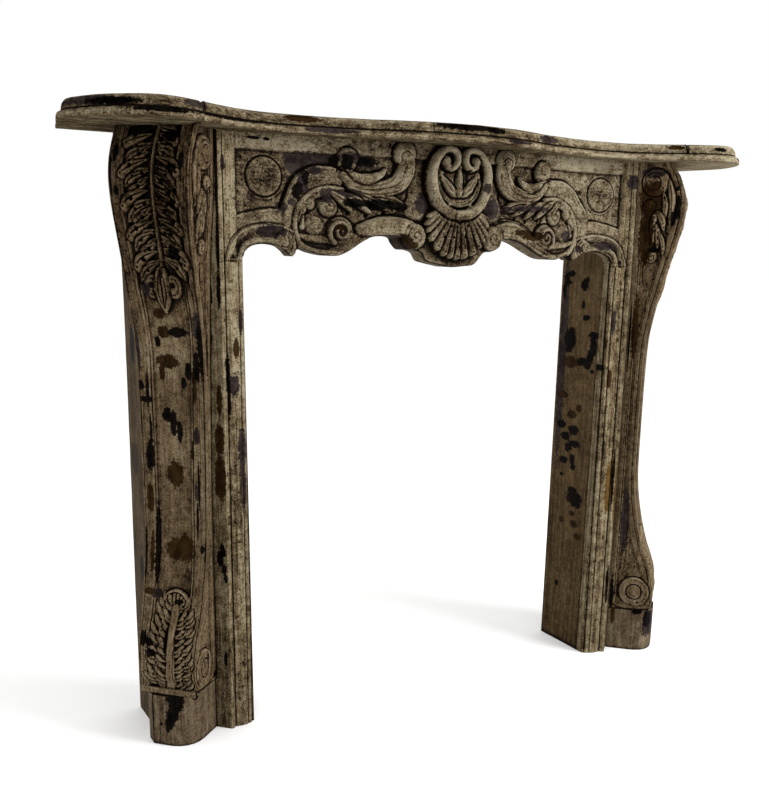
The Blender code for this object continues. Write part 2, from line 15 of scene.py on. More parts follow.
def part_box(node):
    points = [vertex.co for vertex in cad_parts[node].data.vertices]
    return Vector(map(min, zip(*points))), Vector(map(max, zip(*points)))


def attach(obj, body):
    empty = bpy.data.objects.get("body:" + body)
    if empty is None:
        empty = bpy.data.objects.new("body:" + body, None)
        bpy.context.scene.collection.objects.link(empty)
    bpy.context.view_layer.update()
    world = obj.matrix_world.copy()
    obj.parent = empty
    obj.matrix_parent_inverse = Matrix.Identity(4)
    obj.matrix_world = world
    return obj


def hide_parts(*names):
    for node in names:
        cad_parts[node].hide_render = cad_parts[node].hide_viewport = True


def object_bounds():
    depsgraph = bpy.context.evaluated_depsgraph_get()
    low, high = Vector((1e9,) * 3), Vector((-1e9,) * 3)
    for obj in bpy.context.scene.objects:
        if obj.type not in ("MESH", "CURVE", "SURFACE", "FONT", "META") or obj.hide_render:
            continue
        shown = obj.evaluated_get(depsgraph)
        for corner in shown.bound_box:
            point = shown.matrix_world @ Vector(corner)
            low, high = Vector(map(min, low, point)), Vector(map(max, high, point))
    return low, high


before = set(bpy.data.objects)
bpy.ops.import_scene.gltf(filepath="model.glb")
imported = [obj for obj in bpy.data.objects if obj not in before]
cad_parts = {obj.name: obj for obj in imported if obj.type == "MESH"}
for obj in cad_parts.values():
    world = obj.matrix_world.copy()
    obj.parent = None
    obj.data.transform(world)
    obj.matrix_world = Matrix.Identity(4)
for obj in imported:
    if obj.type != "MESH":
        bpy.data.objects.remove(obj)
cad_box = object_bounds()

MM = 0.001
STILE_TO_WALL = 0.158  # from the stiles' front plane back to the wall

# Places taken from the frame
WALL = cad_box[1].y
FRONT_PLANE = WALL - STILE_TO_WALL  # front plane of the stiles
TOP = cad_box[1].z
SHELF_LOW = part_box("shelf_end_left")[0].z
CARCASS_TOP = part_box("stile_left")[1].z
PLINTH_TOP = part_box("plinth_left")[1].z
CONSOLE_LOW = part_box("console_left")[0].z
FRIEZE_HALF_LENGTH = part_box("frieze")[1].x
FACE_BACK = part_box("frieze")[1].y


def ease(value):
    """Rises smoothly from nought to one as the value does."""
    value = np.clip(value, 0.0, 1.0)
    return value * value * (3 - 2 * value)


def near_line(offset, half_width):
    """One on a line, falling smoothly to nought at half its width to either side."""
    return ease(1 - np.abs(offset) / half_width)


def smooth_path(knots, steps=8):
    """A Catmull-Rom curve through the knots, with the given number of steps between two of them."""
    knots = np.asarray(knots, float)
    ends = np.vstack([2 * knots[0] - knots[1], knots, 2 * knots[-1] - knots[-2]])
    share = (np.arange(steps) / steps)[:, None]
    stretches = []
    for index in range(len(knots) - 1):
        before, start, end, after = ends[index:index + 4]
        arriving = (end - before) / 2
        leaving = (after - start) / 2
        change = end - start
        stretches.append(
            start + arriving * share + (3 * change - 2 * arriving - leaving) * share**2
            + (arriving + leaving - 2 * change) * share**3
        )
    return np.vstack(stretches + [knots[-1:]])


def smooth_value(place, knots):
    """The value at a place on the smooth curve through the knots."""
    path = smooth_path(knots, 12)
    return np.interp(place, path[:, 0], path[:, 1])


def scroll_path(centre, radius, inner_radius, start_degrees, turn_degrees, squash=1.0):
    """Points of a scroll that winds from the radius in to the inner radius about its centre."""
    share = np.linspace(0.0, 1.0, 44)
    angle = np.radians(start_degrees + turn_degrees * share)
    reach = radius + (inner_radius - radius) * share**0.8
    return np.column_stack([centre[0] + reach * np.cos(angle), centre[1] + squash * reach * np.sin(angle)])


def soften(field, passes):
    """Averages each grid point with its neighbours, a number of times over."""
    for _ in range(passes):
        for axis in (0, 1):
            padded = np.concatenate([field.take([0], axis), field, field.take([-1], axis)], axis)
            count = field.shape[axis]
            before = padded.take(range(count), axis)
            after = padded.take(range(2, count + 2), axis)
            field = (before + 2 * field + after) / 4
    return field


def lattice_noise(across, up, size, seed):
    """Smooth noise between -1 and 1 whose lumps have about the given size."""
    across, up = np.asarray(across) / size, np.asarray(up) / size
    low_a, low_u = int(np.floor(across.min())), int(np.floor(up.min()))
    count_a = int(np.floor(across.max())) - low_a + 2
    count_u = int(np.floor(up.max())) - low_u + 2
    values = np.random.default_rng(seed).uniform(-1, 1, (count_a, count_u))
    cell_a, cell_u = np.floor(across).astype(int) - low_a, np.floor(up).astype(int) - low_u
    share_a, share_u = ease(across - np.floor(across)), ease(up - np.floor(up))
    low = values[cell_a, cell_u] * (1 - share_a) + values[cell_a + 1, cell_u] * share_a
    high = values[cell_a, cell_u + 1] * (1 - share_a) + values[cell_a + 1, cell_u + 1] * share_a
    return low * (1 - share_u) + high * share_u


PIT_DEPTH = 1.1
PIT_START = 0.40  # a pit begins where the noise passes this
PIT_SLOPE = 0.25  # and has its full depth this much higher


def pitting(across, up, size, seed):
    """Small pits in a worn surface."""
    return PIT_DEPTH * ease((lattice_noise(across, up, size, seed) - PIT_START) / PIT_SLOPE)


# Cross sections of a carved bar: the share of the full height at a place between its edges, -1 and 1
def rounded(u):
    """A half round."""
    return np.clip(1 - u**2, 0, 1) ** 0.4


def plated(u):
    """A nearly flat surface with eased edges."""
    return np.clip(1 - np.abs(u) ** 5, 0, 1) ** 0.45 * (0.9 + 0.1 * (1 - u**2))


def lined(u):
    """A nearly flat surface with fine lines cut along it."""
    return plated(u) * (1 - 0.09 * np.clip(np.cos(5 * np.pi * u), 0, 1) ** 3)


def veined(u, run, veins, depth):
    """A leaf with a midrib groove and veins that sweep back from it."""
    body = np.clip(1 - u**2, 0, 1) ** 0.45
    midrib = np.exp(-((u / 0.12) ** 2))
    fine = np.clip(np.cos(2 * np.pi * (veins * run - 1.4 * np.abs(u))), 0, 1) ** 2
    return body * (1 - depth * fine * np.abs(u) ** 0.5 - 0.3 * midrib)


CUT_WIDTH = 2.4  # of the line cut round a raised bar or leaf
CUT_SLOPE = 1.8
CUT_REACH = 3.0  # how far from the edge the grid is worked
DENSE_PATH = 20


def drawn_path(knots):
    """The smooth path through a few knots; a path with many points is taken as it is."""
    return smooth_path(knots) if len(knots) < DENSE_PATH else np.asarray(knots, float)


class Carving:
    """The height of a carved face over its plain surface, at each point of a grid; all in millimetres. What
    is raised stands on the carving's ground, where it isn't given another."""

    def __init__(self, across, up, height, side=1, ground=-6.0):
        self.across = across
        self.up = up
        self.height = height
        self.side = side
        self.ground = ground

    def ground_at(self, ground):
        return self.ground if ground is None else ground

    def trace(self, path, reach):
        """The grid points near a path, how far along it each lies, and how far to its side."""
        low, high = path.min(axis=0) - reach, path.max(axis=0) + reach
        near = (self.across > low[0]) & (self.across < high[0]) & (self.up > low[1]) & (self.up < high[1])
        points = np.column_stack([self.across[near], self.up[near]])
        if not len(points):
            return near, points[:, 0], points[:, 0]
        step = np.diff(path, axis=0)
        length = np.hypot(step[:, 0], step[:, 1]) + 1e-9
        away = points[:, None] - path[None, :-1]
        share = np.clip((away * step).sum(axis=2) / length**2, 0.0, 1.0)
        offset = away - share[..., None] * step
        distance = np.hypot(offset[..., 0], offset[..., 1])
        nearest = distance.argmin(axis=1)
        rows = np.arange(len(points))
        travelled = np.concatenate([[0.0], np.cumsum(length)])
        run = (travelled[nearest] + share[rows, nearest] * length[nearest]) / travelled[-1]
        turn = step[nearest, 0] * away[rows, nearest, 1] - step[nearest, 1] * away[rows, nearest, 0]
        return near, run, distance[rows, nearest] * np.where(turn < 0, -1.0, 1.0)

    def bar(self, knots, half_width, height, ground=None, section=rounded, cut=0.0):
        """Raises a bar along a path; half width and height are lists of values spread along the path."""
        near, run, side = self.trace(drawn_path(knots), max(half_width) + CUT_REACH)
        places = np.linspace(0, 1, len(half_width))
        half = np.interp(run, places, half_width)
        top = np.interp(run, np.linspace(0, 1, len(height)), height)
        u = side / half
        raised = self.ground_at(ground) + top * section(np.clip(u, -1, 1))
        here = self.height[near]
        here = here - cut * ease((half + CUT_WIDTH - np.abs(side)) / CUT_SLOPE) * (np.abs(u) >= 1)
        self.height[near] = np.where(np.abs(u) < 1, np.maximum(here, raised), here)

    def plate(self, knots, half_width, height, cut=0.0):
        """Raises a bar with a nearly flat top."""
        self.bar(knots, half_width, height, section=plated, cut=cut)

    def leaf(self, knots, half_width, height, ground=None, veins=6, depth=0.2, fullness=0.75, cut=1.5):
        """Lays a pointed leaf along a path, over what is there, with a sunk line round it."""
        near, run, side = self.trace(smooth_path(knots), half_width + CUT_REACH)
        belly = np.clip(np.sin(np.pi * np.clip(run, 0.02, 0.98) ** fullness), 0, 1) ** 0.6
        half = half_width * belly + 0.3
        u = side / half
        top = height * (0.7 + 0.3 * belly)
        raised = self.ground_at(ground) + top * veined(np.clip(u, -1, 1), run, veins, depth)
        here = self.height[near]
        ring = ease((half + CUT_WIDTH - np.abs(side)) / CUT_SLOPE) * (np.abs(u) >= 1) * belly
        here = here - cut * ring
        self.height[near] = np.where(np.abs(u) < 1, np.maximum(raised, here - 2.0), here)

    def boss(self, centre, radius, height, ground=None, squash=1.0, power=0.5):
        """Raises a dome; a low power gives it steep sides and a flat top."""
        distance = np.hypot(self.across - centre[0], (self.up - centre[1]) / squash) / radius
        dome = self.ground_at(ground) + height * np.clip(1 - distance**2, 0, 1) ** power
        self.height[:] = np.where(distance < 1, np.maximum(self.height, dome), self.height)

    def hole(self, centre, radius, depth):
        """Drills a shallow hole."""
        distance = np.hypot(self.across - centre[0], self.up - centre[1]) / radius
        self.height -= depth * ease(1.35 - distance)

    def groove(self, knots, half_width, depth):
        """Cuts a groove along a path."""
        near, _, side = self.trace(drawn_path(knots), half_width + 1)
        self.height[near] -= depth * near_line(side, half_width)

    def curl(self, half_width, depth, *scroll):
        """Cuts a groove along a scroll."""
        self.groove(scroll_path(*scroll), half_width, depth)


# The frieze
RAIL_LOW = 1024.0
PANEL_GROUND = -6.0
FRIEZE_REST = 0.385  # beyond this distance from the middle the frieze rests on the stiles
REST_HEIGHT = 0.8517  # and its edge is no lower than this there


def outline_height(x):
    """Height of the frieze's lower edge: an arch with a curled tip, a swag, an ogee, a step, the shell."""
    left = [(-0.4070, 0.8523), (-0.3949, 0.8523), (-0.3920, 0.8605), (-0.3780, 0.8705), (-0.3560, 0.8735),
            (-0.3330, 0.8710), (-0.3200, 0.8630), (-0.3110, 0.8545), (-0.3010, 0.8565), (-0.2940, 0.8675),
            (-0.2700, 0.8605), (-0.2400, 0.8560), (-0.2150, 0.8610), (-0.1800, 0.8830), (-0.1600, 0.8905),
            (-0.1150, 0.8912), (-0.1040, 0.8800), (-0.0930, 0.8700), (-0.0780, 0.8690), (-0.0620, 0.8640),
            (-0.0530, 0.8510), (-0.0380, 0.8465), (-0.0200, 0.8430), (0.0, 0.8400)]
    right = [(0.0260, 0.8420), (0.0500, 0.8460), (0.0690, 0.8660), (0.0860, 0.8690), (0.0970, 0.8750),
             (0.1020, 0.8880), (0.1140, 0.8925), (0.1500, 0.8865), (0.1900, 0.8680), (0.2150, 0.8585),
             (0.2400, 0.8570), (0.2680, 0.8660), (0.2860, 0.8560), (0.3000, 0.8620), (0.3200, 0.8715),
             (0.3450, 0.8740), (0.3700, 0.8700), (0.3870, 0.8625), (0.3949, 0.8523), (0.4070, 0.8523)]
    low = smooth_value(x, left + right)
    return np.where(np.abs(x) > FRIEZE_REST, np.maximum(low, REST_HEIGHT), low)


def frieze_front(x):
    """How far the frieze's plain surface stands in front of the stiles, as the shelf bows."""
    half = [(0.0, 0.0345), (0.120, 0.0330), (0.170, 0.0290), (0.237, 0.0200), (0.300, 0.0100),
            (0.350, 0.0072), (0.407, 0.0090), (0.470, 0.0090)]
    return smooth_value(np.abs(x), half)


def carve_ground(c):
    """The rails, the sunk panel and its apron, and the turned disc."""
    across, up = np.abs(c.across), c.up
    in_panel = ease((RAIL_LOW - up) / 2.0)
    apron_top = np.interp(across, [318, 345, 380, 412], [932, 933, 927, 919])
    on_apron = ease((apron_top - up) / 3.0) * ease((across - 318.0) / 6.0)
    c.height[:] = in_panel * (4.8 * on_apron + PANEL_GROUND)
    c.height -= 2.6 * near_line(up - RAIL_LOW, 2.2)
    c.height -= 2.2 * near_line(up - apron_top - 1, 2.2) * ease((across - 318.0) / 6.0)
    c.height -= 1.2 * near_line(up - apron_top + 6, 1.8) * ease((across - 330.0) / 6.0)
    distance = np.hypot(across - 356.0, up - 982.5)
    disc = -2.0 - 6.5 * near_line(distance - 33.0, 3.4)
    c.height[:] = np.where(distance < 36.0, disc, c.height)
    c.height -= 1.4 * near_line(distance - 38.5, 1.8) * ease((975 - up) / 20)


def carve_arch(c):
    """The arch moulding over one side of the opening: a ridge, a cove and a bead."""
    ridge = [(427, 838), (424, 853), (415, 874), (400, 891), (380, 900), (352, 904), (326, 902), (303, 895)]
    c.bar(ridge, [2.4], [4.6], ground=-2.0)
    c.groove([(430, 842), (427, 857), (418, 879), (402, 896), (381, 905), (352, 909), (324, 907)], 1.8, 2.2)
    c.groove([(414, 846), (407, 866), (392, 882), (376, 890), (350, 892.5), (328, 889)], 8.5, 4.2)
    c.bar([(404, 846), (397, 866), (382, 877), (356, 880), (334, 877), (319, 869), (311, 859)], [4.6], [6.5],
          ground=-2.5)


def carve_arch_tip(c):
    """The curled tip where the arch moulding meets the great scroll."""
    c.boss((316, 872), 24, 11.0, ground=-4.5, power=0.25)
    for radius in (9.0, 13.5, 18.0):
        c.curl(1.9, 5.5, (322, 879), radius, radius, 125, 190, 1.12)
    c.groove([(300, 898), (296, 880), (290, 866)], 2.0, 4.0)


def carve_sweep(c):
    """The broad sweep from the upper scroll down to the arch, and the rim of the great scroll."""
    c.plate([(224, 985), (262, 983), (291, 964), (308, 936), (313, 905), (308, 884)], [17, 19, 18, 15, 12, 9],
            [9.5, 9.5, 8.0, 6.5])
    c.bar([(228, 1001), (262, 1000), (294, 982), (313, 956), (323, 933)], [2.6], [10.5, 10.5, 8.5])
    c.groove([(230, 1006), (264, 1005), (299, 987), (319, 958), (328, 936)], 2.2, 3.4)
    c.groove([(312, 972), (321, 953), (327, 936)], 4.4, 4.2)
    c.groove([(236, 992), (264, 990), (289, 973), (304, 950)], 1.3, 1.0)
    rim = [(212, 967), (238, 969), (266, 960), (287, 941), (297, 915), (295, 888), (280, 869), (250, 861),
           (216, 862)]
    c.groove([(x + (x - 250) * 0.055, z + (z - 905) * 0.055) for x, z in rim], 2.4, 3.4)
    c.plate(rim, [3.6, 5.0, 6.0, 6.5, 6.0], [12.5])
    c.groove([(226, 966), (244, 965), (266, 955), (284, 937), (292, 914), (289, 890), (277, 874)], 1.4, 2.4)


def carve_great_scroll(c):
    """The three curls inside the great scroll, the leaf between them and the ribbon round them."""
    c.boss((252, 908), 46, 7.0, power=0.16)
    c.plate([(238, 957), (258, 956), (276, 943), (285, 922), (284, 903)], [4, 6.5, 8, 6], [11.5])
    c.groove([(246, 952), (262, 947), (274, 934), (279, 918)], 1.4, 2.6)
    c.plate([(232, 880), (252, 884), (276, 886), (290, 890)], [5, 7.5, 7, 3], [10.5])
    c.groove([(236, 874), (260, 876), (284, 880)], 1.6, 2.4)
    c.boss((263, 906), 17.5, 15, power=0.3, squash=0.95)
    for radius in (4.5, 8.5, 12.5):
        c.curl(1.4, 2.6, (261, 904), radius, radius * 0.9, 20, 215)
    c.groove([(272, 927), (284, 921), (288, 908)], 3.6, 5.0)
    c.boss((270, 942), 9.5, 15, squash=1.3, power=0.35)
    c.curl(1.5, 2.6, (269, 942), 11.5, 11.0, 100, 220)
    c.boss((238, 937), 17.5, 14.5, power=0.3)
    c.curl(1.7, 3.6, (238, 937), 12.5, 2.5, 60, 440)
    c.curl(2.0, 3.4, (238, 937), 18.5, 18.0, 150, 200)
    c.boss((217, 897), 26, 13.0, power=0.3)
    c.bar(scroll_path((217, 897), 21.5, 6.0, -60, 480), [4.6, 3.6], [17.5, 19.0])
    c.curl(2.4, 4.4, (217, 897), 27, 25.5, 20, 230)
    c.boss((215, 898), 5.5, 17)


def carve_wave(c):
    """The broad wave that runs from the small volute beside the shell out to the great scroll."""
    c.plate([(90, 902), (120, 907), (150, 901), (180, 887), (208, 870), (236, 861)], [14, 17, 17, 15, 12, 8],
            [10.5, 10.5, 9.0])
    c.groove([(88, 921), (106, 929), (130, 928), (160, 921), (186, 908), (204, 892)], 2.0, 3.6)
    if c.side < 0:
        c.plate([(178, 901), (158, 906), (130, 909), (100, 906), (84, 900)], [11, 17, 17, 16], [14.5, 15.5],
                cut=3.0)
        c.groove([(190, 912), (182, 900), (178, 889)], 3.0, 3.0)
    else:
        c.groove([(100, 916), (138, 914), (172, 900), (204, 882), (240, 869)], 1.5, 2.2)
        c.groove([(104, 905), (148, 899), (186, 881), (222, 866)], 1.5, 2.2)
        c.groove([(112, 896), (146, 889), (182, 872), (206, 861)], 1.4, 1.6)
    c.boss((83, 893), 23, 16.5, power=0.3)
    c.curl(2.0, 3.4, (83, 893), 24, 23, -60, 160)
    c.curl(1.8, 3.4, (83, 893), 17.5, 3.0, 60, -500)


def carve_cup(c):
    """The upright scroll under the rail: a fluted bowl from a curled head round to a knob."""
    bowl = [(101, 1034), (101, 1014), (107, 993), (124, 977), (156, 970), (188, 974), (210, 990)]
    c.plate(bowl, [13, 17, 17, 14, 14, 13, 9], [16, 15, 13, 12], cut=2.6)
    c.boss((106, 1031), 22, 19, power=0.3)
    c.plate([(140, 1003), (149, 993), (168, 986), (188, 989), (206, 1001)], [2.5, 8, 9.5, 7, 4], [14.5],
            cut=2.6)
    c.groove([(93, 1008), (96, 990), (106, 977), (126, 966), (162, 961), (198, 965), (220, 979)], 1.6, 3.0)
    c.groove([(107, 1006), (114, 987), (130, 975), (162, 968), (194, 972), (210, 984)], 1.5, 3.0)
    c.groove([(122, 1003), (128, 987), (142, 979), (166, 975), (190, 979), (206, 992)], 1.5, 2.8)
    c.groove([(97, 1030), (106, 1035), (116, 1028), (114, 1017), (123, 1012), (125, 1000), (131, 986)],
             1.9, 4.0)
    c.curl(2.0, 3.0, (106, 1031), 23.5, 22.5, 60, -130)
    c.groove([(140, 999), (154, 1001), (160, 995), (176, 992), (196, 999)], 1.5, 3.0)
    c.boss((203, 1016), 20, 17, power=0.3)
    c.curl(2.2, 4.2, (203, 1016), 21.5, 20.5, 70, 220)
    c.groove([(190, 1004), (202, 1000), (215, 1004), (223, 996)], 2.6, 5.0)
    c.curl(1.5, 2.4, (202, 1018), 12, 6, 60, 250)


def carve_spray(c):
    """A leaf spray between the upright scroll and the wave, with drilled holes under it."""
    c.boss((79, 943), 26, 9.5, squash=0.95, power=0.8)
    c.groove([(60, 926), (70, 917), (84, 914), (98, 919)], 1.8, 2.4)
    c.plate([(112, 946), (150, 951), (200, 954), (244, 963)], [7, 9, 9, 7], [10.5])
    for root, middle, tip, half in (
        ((252, 965), (238, 951), (223, 938), 7.0), ((234, 962), (214, 950), (193, 931), 8.0),
        ((206, 960), (184, 948), (160, 929), 8.0), ((178, 959), (156, 949), (130, 935), 8.0),
        ((154, 957), (130, 953), (103, 944), 8.5),
    ):
        c.leaf([root, middle, tip], half, 13.5, veins=3, depth=0.24, cut=3.4)
        c.groove([root, middle, tip], 1.2, 2.6)
    for centre in ((139, 930), (168, 925), (200, 929)):
        c.hole(centre, 3.8, 6.0)
    c.groove([(106, 936), (124, 930), (150, 926)], 1.8, 3.0)
    c.groove([(103, 950), (97, 960), (96, 972)], 3.2, 3.6)


def carve_shell(c):
    """The fan of the shell: close ribs with rounded ends and a fine line along each."""
    across, down = c.across - 4.0, 964.0 - c.up
    reach = np.hypot(across, down)
    bearing = np.degrees(np.arctan2(across, down))
    turn = np.pi * (bearing + 1.6 * np.sin(bearing / 7.0 + 1.0)) / 9.0
    crest = np.abs(np.cos(turn))
    long = np.interp(np.abs(bearing), [0, 20, 35, 50, 64], [113, 110, 100, 88, 72]) - 7.0 * (1 - crest) ** 1.5
    on_fan = ease((long - reach) / 4.0) * ease((64 - np.abs(bearing)) / 3.0) * ease((reach - 22) / 4.0)
    depth = np.clip(reach / 80.0, 0.35, 1.1)
    flutes = 20.0 - 9.0 * depth * (1 - crest**0.6) - 2.4 * np.exp(-(((crest - 1) / 0.03) ** 2))
    flutes -= 3.0 * near_line(long - reach - 9.0, 2.2) * crest
    c.height[:] = np.where(on_fan > 0, np.maximum(c.height, PANEL_GROUND + on_fan * flutes), c.height)
    for centre in ((5, 917), (-7, 893), (18, 894), (22, 914), (-14, 912), (-26, 893), (36, 897), (6, 876)):
        c.hole(centre, 2.6, 6.0)


RING_BAND = ((0, 931), (25, 936), (47, 956), (58, 992), (52, 1023), (31, 1043), (13, 1040), (8, 1025),
             (17, 1012), (30, 1014))  # distance from the ring's middle line, height


def carve_cartouche(c):
    """The ring over the shell: a broad band that ends in two volutes, fine ridges inside, and a palmette."""
    middle = 4.0
    angles = np.radians(np.linspace(155, 385, 60))

    def circle(radius):
        return np.column_stack([middle + radius * np.cos(angles), 988 + 0.95 * radius * np.sin(angles)])

    c.boss((middle, 990), 66, 8.0, ground=-4.0, squash=0.94, power=0.08)
    for radius, height in ((43.0, 18.0), (38.6, 15.0), (34.4, 12.5)):
        c.bar(circle(radius), [1.9], [height])
    for hand in (-1, 1):
        root = (middle + hand * 2, 964)
        c.leaf([root, (middle + hand * 20, 977), (middle + hand * 40, 1002)], 10.5, 18.5, veins=3, depth=0.16,
               cut=4.5)
        c.groove([(middle + hand * 30, 975), (middle + hand * 38, 986), (middle + hand * 42, 996)], 3.4, 5.5)
        c.groove([root, (middle + hand * 17, 980), (middle + hand * 32, 998)], 1.4, 2.4)
    c.bar([(4, 968), (4, 992), (4, 1018)], [6.5, 9.0, 3.0], [19.0], cut=4.5)
    for across in (-1.5, 4.0, 9.5):
        c.groove([(4 + (across - 4) * 0.4, 974), (across, 994), (4 + (across - 4) * 0.3, 1013)], 1.5, 5.0)
    for hand in (-1, 1):
        band = [(middle + hand * across, up) for across, up in RING_BAND]
        c.bar(band, [10.5, 10.5, 10.5, 10.0, 9.0, 7.5, 6.5, 6.0], [25.0, 25.0, 26.0, 27.0],
              section=lined, cut=5.0)
        knob = (middle + hand * 31, 1023)
        c.boss(knob, 9.5, 27, squash=1.15, power=0.35)
        c.curl(2.0, 6.0, knob, 11.5, 11.0, 60, hand * 230, 1.15)
        c.curl(2.2, 3.0, (middle, 988), 70.5, 70.0, 90 + hand * 30, hand * 130, 0.95)
    c.groove([(4, 1048), (4, 1036), (4, 1020)], 4.0, 8.0)


def carver_drift(x):
    """Between the shell and the discs the hand-cut carving sits a little to the left of true."""
    reach = np.abs(x)
    return -8.0 * ease((reach - 110.0) / 80.0) * ease((322.0 - reach) / 26.0)


def frieze_carving(x, z):
    """The frieze's relief over its plain surface, in millimetres."""
    across = x / MM - carver_drift(x / MM)
    c = Carving(across, z / MM, np.zeros(x.shape))
    carve_ground(c)
    for side in (-1, 1):
        half = Carving(across * side, c.up, c.height, side)
        for carve in (carve_arch, carve_sweep, carve_arch_tip, carve_great_scroll, carve_wave, carve_spray,
                      carve_cup):
            carve(half)
    carve_shell(c)
    carve_cartouche(c)
    c.height += 0.30 * lattice_noise(c.across, c.up, 7.0, 3) + 0.5 * lattice_noise(c.across, c.up, 24.0, 4)
    c.height -= pitting(c.across, c.up, 5.5, 13)
    return c.height


# Closed meshes and what is painted on them
def mesh_through(name, loops):
    """A closed mesh through equal loops of points, one after the other."""
    levels, count = loops.shape[:2]
    here = (np.arange(levels - 1)[:, None] * count + np.arange(count)).ravel()
    after = (np.arange(levels - 1)[:, None] * count + np.roll(np.arange(count), -1)).ravel()
    quads = np.column_stack([here, after, after + count, here + count])
    corners = np.concatenate([quads.ravel(), np.arange(count)[::-1], np.arange(count) + (levels - 1) * count])
    starts = np.concatenate([np.arange(len(quads)) * 4, [len(quads) * 4, len(quads) * 4 + count]])
    mesh = bpy.data.meshes.new(name)
    mesh.vertices.add(levels * count)
    mesh.vertices.foreach_set("co", loops.reshape(-1).astype(np.float32))
    mesh.loops.add(len(corners))
    mesh.loops.foreach_set("vertex_index", corners.astype(np.int32))
    mesh.polygons.add(len(starts))
    mesh.polygons.foreach_set("loop_start", starts.astype(np.int32))
    mesh.update(calc_edges=True)
    mesh.validate()
    shape = bmesh.new()
    shape.from_mesh(mesh)
    bmesh.ops.recalc_face_normals(shape, faces=shape.faces)
    shape.to_mesh(mesh)
    shape.free()
    return mesh


def write_values(mesh, name, values):
    """Writes one number for each point of a mesh."""
    layer = mesh.attributes.get(name) or mesh.attributes.new(name, "FLOAT", "POINT")
    layer.data.foreach_set("value", np.asarray(values, np.float32).ravel())


def points_of(mesh):
    """The places of a mesh's points."""
    places = np.empty(len(mesh.vertices) * 3, np.float32)
    mesh.vertices.foreach_get("co", places)
    return places.reshape(-1, 3).astype(float)


# A patch is its centre, across and up, and how far it reaches each way; a broad area of dirt and painted
# light also has its strength
PATCH_SPREAD = 1.12  # in shares of the reach
FAR_OUTSIDE = -1.5
SOILING_AND_LIGHT_SPREAD = 1.25


def patch_depth(across, up, patches):
    """How far inside the nearest patch each point lies, as a share of its size; below nought outside."""
    depth = np.full(np.shape(across), FAR_OUTSIDE)
    for centre_a, centre_u, reach_a, reach_u in patches:
        place = np.hypot((across - centre_a) / reach_a, (up - centre_u) / reach_u)
        depth = np.maximum(depth, PATCH_SPREAD - place)
    return depth


def cavities(relief, strength):
    """How sunk and how proud each grid point is against the points round it; the sunk points are painted
    darker for dirt and painted shade, the proud ones paler for paint worn by rubbing and a painted highlight.
    """
    wide, middle, near = [soften(relief, passes) for passes in (60, 14, 3)]
    hollow, rubbed_and_highlit = 0.0, 0.0
    # hollow: dirt and painted shade in the recesses
    for level, full_depth, share in ((wide, 6.0, 0.60), (middle, 4.0, 0.45), (near, 1.2, 0.40)):
        hollow = hollow + share * np.clip((level - relief) / full_depth, 0, 1)
    # proud: paint worn by rubbing, and a painted highlight on the tops
    for level, full_height, share in ((wide, 6.0, 0.65), (near, 0.9, 0.55)):
        rubbed_and_highlit = rubbed_and_highlit + share * np.clip((relief - level) / full_height, 0, 1)
    return np.clip(strength * hollow, 0, 1), np.clip(rubbed_and_highlit, 0, 1)


def soiling_and_light(across, up, areas):
    """Broad soft areas where the paint is darker, or lighter below nought: partly dirt, partly painted light
    and shade.
    """
    amount = np.zeros(np.shape(across))
    for centre_a, centre_u, reach_a, reach_u, strength in areas:
        place = np.hypot((across - centre_a) / reach_a, (up - centre_u) / reach_u)
        amount += strength * ease(SOILING_AND_LIGHT_SPREAD - place)
    return amount


PLAIN_ANGLE = 40  # edges sharper than this stay crisp
CARVED_ANGLE = 60


def finish_piece(name, mesh, node, material, state, across, up, patches, smooth_angle=PLAIN_ANGLE):
    """Makes a mesh a piece of the frame. The state says how hollow each point is (dirt and painted shade),
    how proud (paint worn by rubbing and a painted highlight) and how soiled or lit (broad areas of dirt and
    of painted light and shade); the patches say where the paint is lost, for each of the four colours that
    show through."""
    for title, values in zip(("hollow", "rubbed_and_highlit", "soiling_and_light"), state):
        write_values(mesh, title, values)
    for colour in ("dark", "brown", "purple", "ochre"):
        write_values(mesh, "loss_" + colour, patch_depth(across, up, patches.get(colour, ())))
    mesh.materials.clear()
    mesh.materials.append(material)
    mesh.shade_smooth()
    mesh.set_sharp_from_angle(angle=math.radians(smooth_angle))
    piece = bpy.data.objects.new(name, mesh)
    bpy.context.scene.collection.objects.link(piece)
    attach(piece, "root")
    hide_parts(node)


# Broad areas, partly dirt and partly painted light: mostly darker on the left half and lighter on the right,
# as if lit from the right, and lighter on the rails just under the shelf, painted light where the shelf casts
# shade
FRIEZE_SOILING_AND_LIGHT = [
    (-350, 975, 70, 60, 0.55), (-230, 1000, 60, 30, 0.25), (-240, 900, 60, 40, 0.35),
    (-360, 1038, 110, 14, -1.4), (-385, 960, 26, 60, 0.3), (4, 945, 62, 22, -0.40), (4, 1035, 50, 16, -0.35),
    (-52, 995, 14, 40, -0.45), (60, 995, 14, 40, -0.30), (300, 1008, 50, 20, -0.6), (395, 1000, 16, 50, -0.4),
    (300, 1040, 130, 16, -1.7), (340, 900, 90, 40, -0.35), (160, 900, 60, 25, -0.25),
    (240, 990, 70, 40, -0.35), (-150, 905, 50, 20, -0.35), (-370, 880, 60, 24, -0.35), (4, 890, 70, 60, 0.95),
    (-230, 870, 90, 40, 0.3),
]
